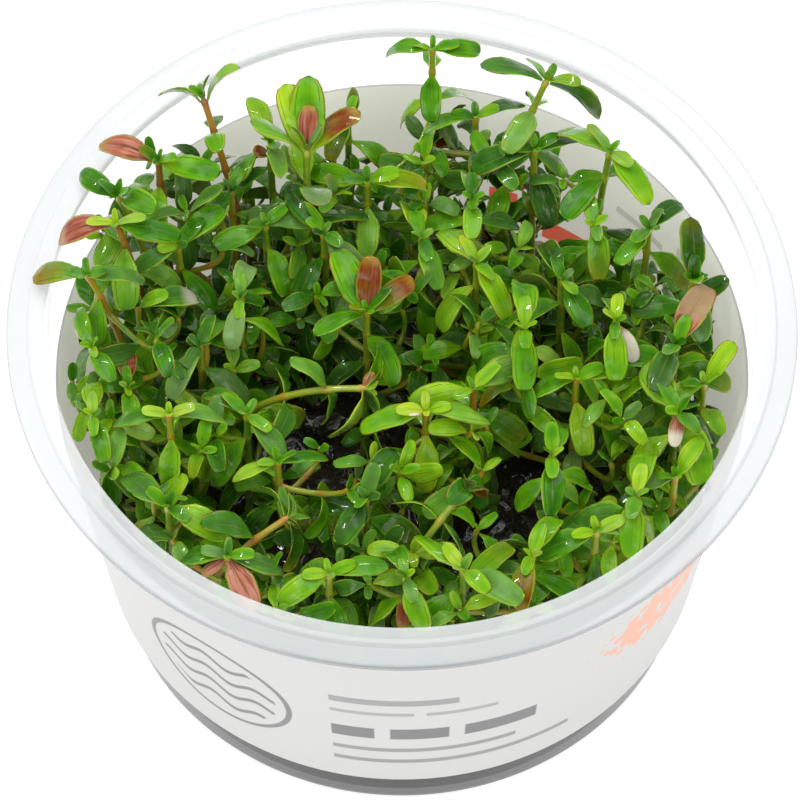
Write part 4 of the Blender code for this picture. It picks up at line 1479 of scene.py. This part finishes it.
def spray(paint, s, z):
    """Ovals that grow together towards the middle of the spray."""
    centre, middle, wide, high = SPRAY
    from_middle = ((s - centre) / wide) ** 2 + ((z - middle) / high) ** 2
    flat = paint.node("ShaderNodeCombineXYZ", {0: s, 1: z, 2: 0})
    cells = {"Vector": flat, "Scale": SPRAY_SPOTS, "Randomness": 0.9}
    spots = paint.node("ShaderNodeTexVoronoi", cells, voronoi_dimensions="2D")
    grown = paint.step(from_middle, 1.1, 0.2, 0.08, 0.62)
    return paint.step(spots - grown, 0.05, -0.05) * paint.step(from_middle, 1.3, 1.1)


def band_print(paint):
    """Shares of dark and of coral ink on the band."""
    x, y, z = paint.axes()
    s = paint.calculate("ARCTAN2", x, y * -1) * (PRINT_RADIUS / MM)
    z = z * (1 / MM)
    dark = badge(paint, s, z)
    for *sides, weight in BARS:
        dark = paint.larger(dark, bar(paint, s, z, *sides) * weight)
    for sides in BACK_BARS:
        dark = paint.larger(dark, bar(paint, s, z, *sides))
    coral = spray(paint, s, z)
    for sides in BACK_CORAL:
        coral = paint.larger(coral, bar(paint, s, z, *sides))
    return dark, coral


def band_finish():
    """Satin film with its print."""
    band = Finish("printed_film")
    dark, coral = band_print(band)
    grain = band.cloud(2400, 2)
    colour = band.mix(dark, band.mix(grain, *PAPER), INK)
    colour = band.mix(coral * 0.85, colour, CORAL)
    return band.set({
        "Base Color": colour, "Roughness": 0.38 + 0.1 * grain,
        "Normal": band.relief(grain, 0.00002, 0.3),
    })


def band_back_finish():
    """The film's plain inner face, with the print showing through, painted lighter and given a painted
    glow, both standing in for daylight through the film.
    """
    band = Finish("film_back")
    dark, coral = band_print(band)
    cloud = band.cloud(70, 3)
    colour = band.mix(dark * 0.4, band.mix(cloud, *PAINTED_LIT_BACK_PAPER), BACK_INK)
    colour = band.mix(coral * 0.95, colour, BACK_RED)
    return band.set({
        "Base Color": colour, "Roughness": 0.45 + 0.1 * cloud,
        # painted glow in place of daylight through the film
        "Emission Color": colour, "Emission Strength": GLOW,
    })


# The sheet that the cup stands on is lit a little from below
FLOOR_GLOW = 0.70
FLOOR_PALE = ((0.57, 0.57, 0.57), (0.60, 0.60, 0.60))


def floor_finish():
    """White sheet with a faint cloudiness."""
    floor = Finish("pale_floor")
    return floor.set({
        "Base Color": floor.mix(floor.cloud(8, 3), *FLOOR_PALE), "Roughness": 0.6,
        "Emission Color": (1.0, 1.0, 1.0), "Emission Strength": FLOOR_GLOW,
    })


def make_floor():
    """A square of two metres each way from the middle."""
    mesh = bpy.data.meshes.new("floor")
    form = bmesh.new()
    bmesh.ops.create_grid(form, x_segments=2, y_segments=2, size=2.0)
    form.to_mesh(mesh)
    form.free()
    mesh.materials.append(floor_finish())
    floor = put("floor", mesh)


# Camera: place in metres, degrees below level, and its focal length over the picture's width
CAMERA_PLACE = (-0.00026, -0.3502, 0.6060)
CAMERA_FALL = 58.32
FRAME_PIXELS = 800
FOCAL_PIXELS = 5172
SENSOR = 36


def make_camera():
    """Front and high above, from where the cup was seen."""
    camera = put("camera", bpy.data.cameras.new("camera"))
    camera.location = CAMERA_PLACE
    camera.rotation_euler = (math.radians(90 - CAMERA_FALL), 0, 0)
    camera.data.sensor_width = SENSOR
    camera.data.lens = SENSOR * FOCAL_PIXELS / FRAME_PIXELS
    bpy.context.scene.camera = camera


# The white studio's own light, and its soft boxes: place in metres, power in watts, and size
STUDIO_LIGHT = 0.68
LAMPS = (
    ((0.00, 0.05, 0.95), 3.2, 0.90, 0.90),
    ((-0.50, -0.60, 0.60), 1.6, 0.50, 0.50),
    ((0.50, -0.60, 0.60), 1.6, 0.50, 0.50),
    ((-0.45, 0.25, 0.75), 1.3, 0.14, 0.03),
    ((0.05, 0.60, 0.80), 1.1, 0.30, 0.04),
)


def make_lights():
    """Soft boxes round a white studio."""
    for place, power, width, depth in LAMPS:
        light = put("softbox", bpy.data.lights.new("softbox", "AREA"))
        light.data.energy = power
        light.data.shape = "RECTANGLE"
        light.data.size = width
        light.data.size_y = depth
        light.location = place
        aim = Vector((0, 0, GEL_TOP)) - Vector(place)
        light.rotation_euler = aim.to_track_quat("-Z", "Y").to_euler()
    world = bpy.data.worlds.new("studio")
    world.use_nodes = True
    backdrop = world.node_tree.nodes["Background"].inputs
    backdrop["Color"].default_value = (1, 1, 1, 1)
    backdrop["Strength"].default_value = STUDIO_LIGHT
    bpy.context.scene.world = world
    bpy.context.scene.view_settings.view_transform = "Standard"


def main():
    plantlets = grow(Bed(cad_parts["gel"]))
    make_plantlets(plantlets, leaf_finish(), stem_finish())
    make_gel(gel_finish())
    make_cup(cup_finish())
    make_label(band_finish(), band_back_finish())
    make_floor()
    make_camera()
    make_lights()


main()
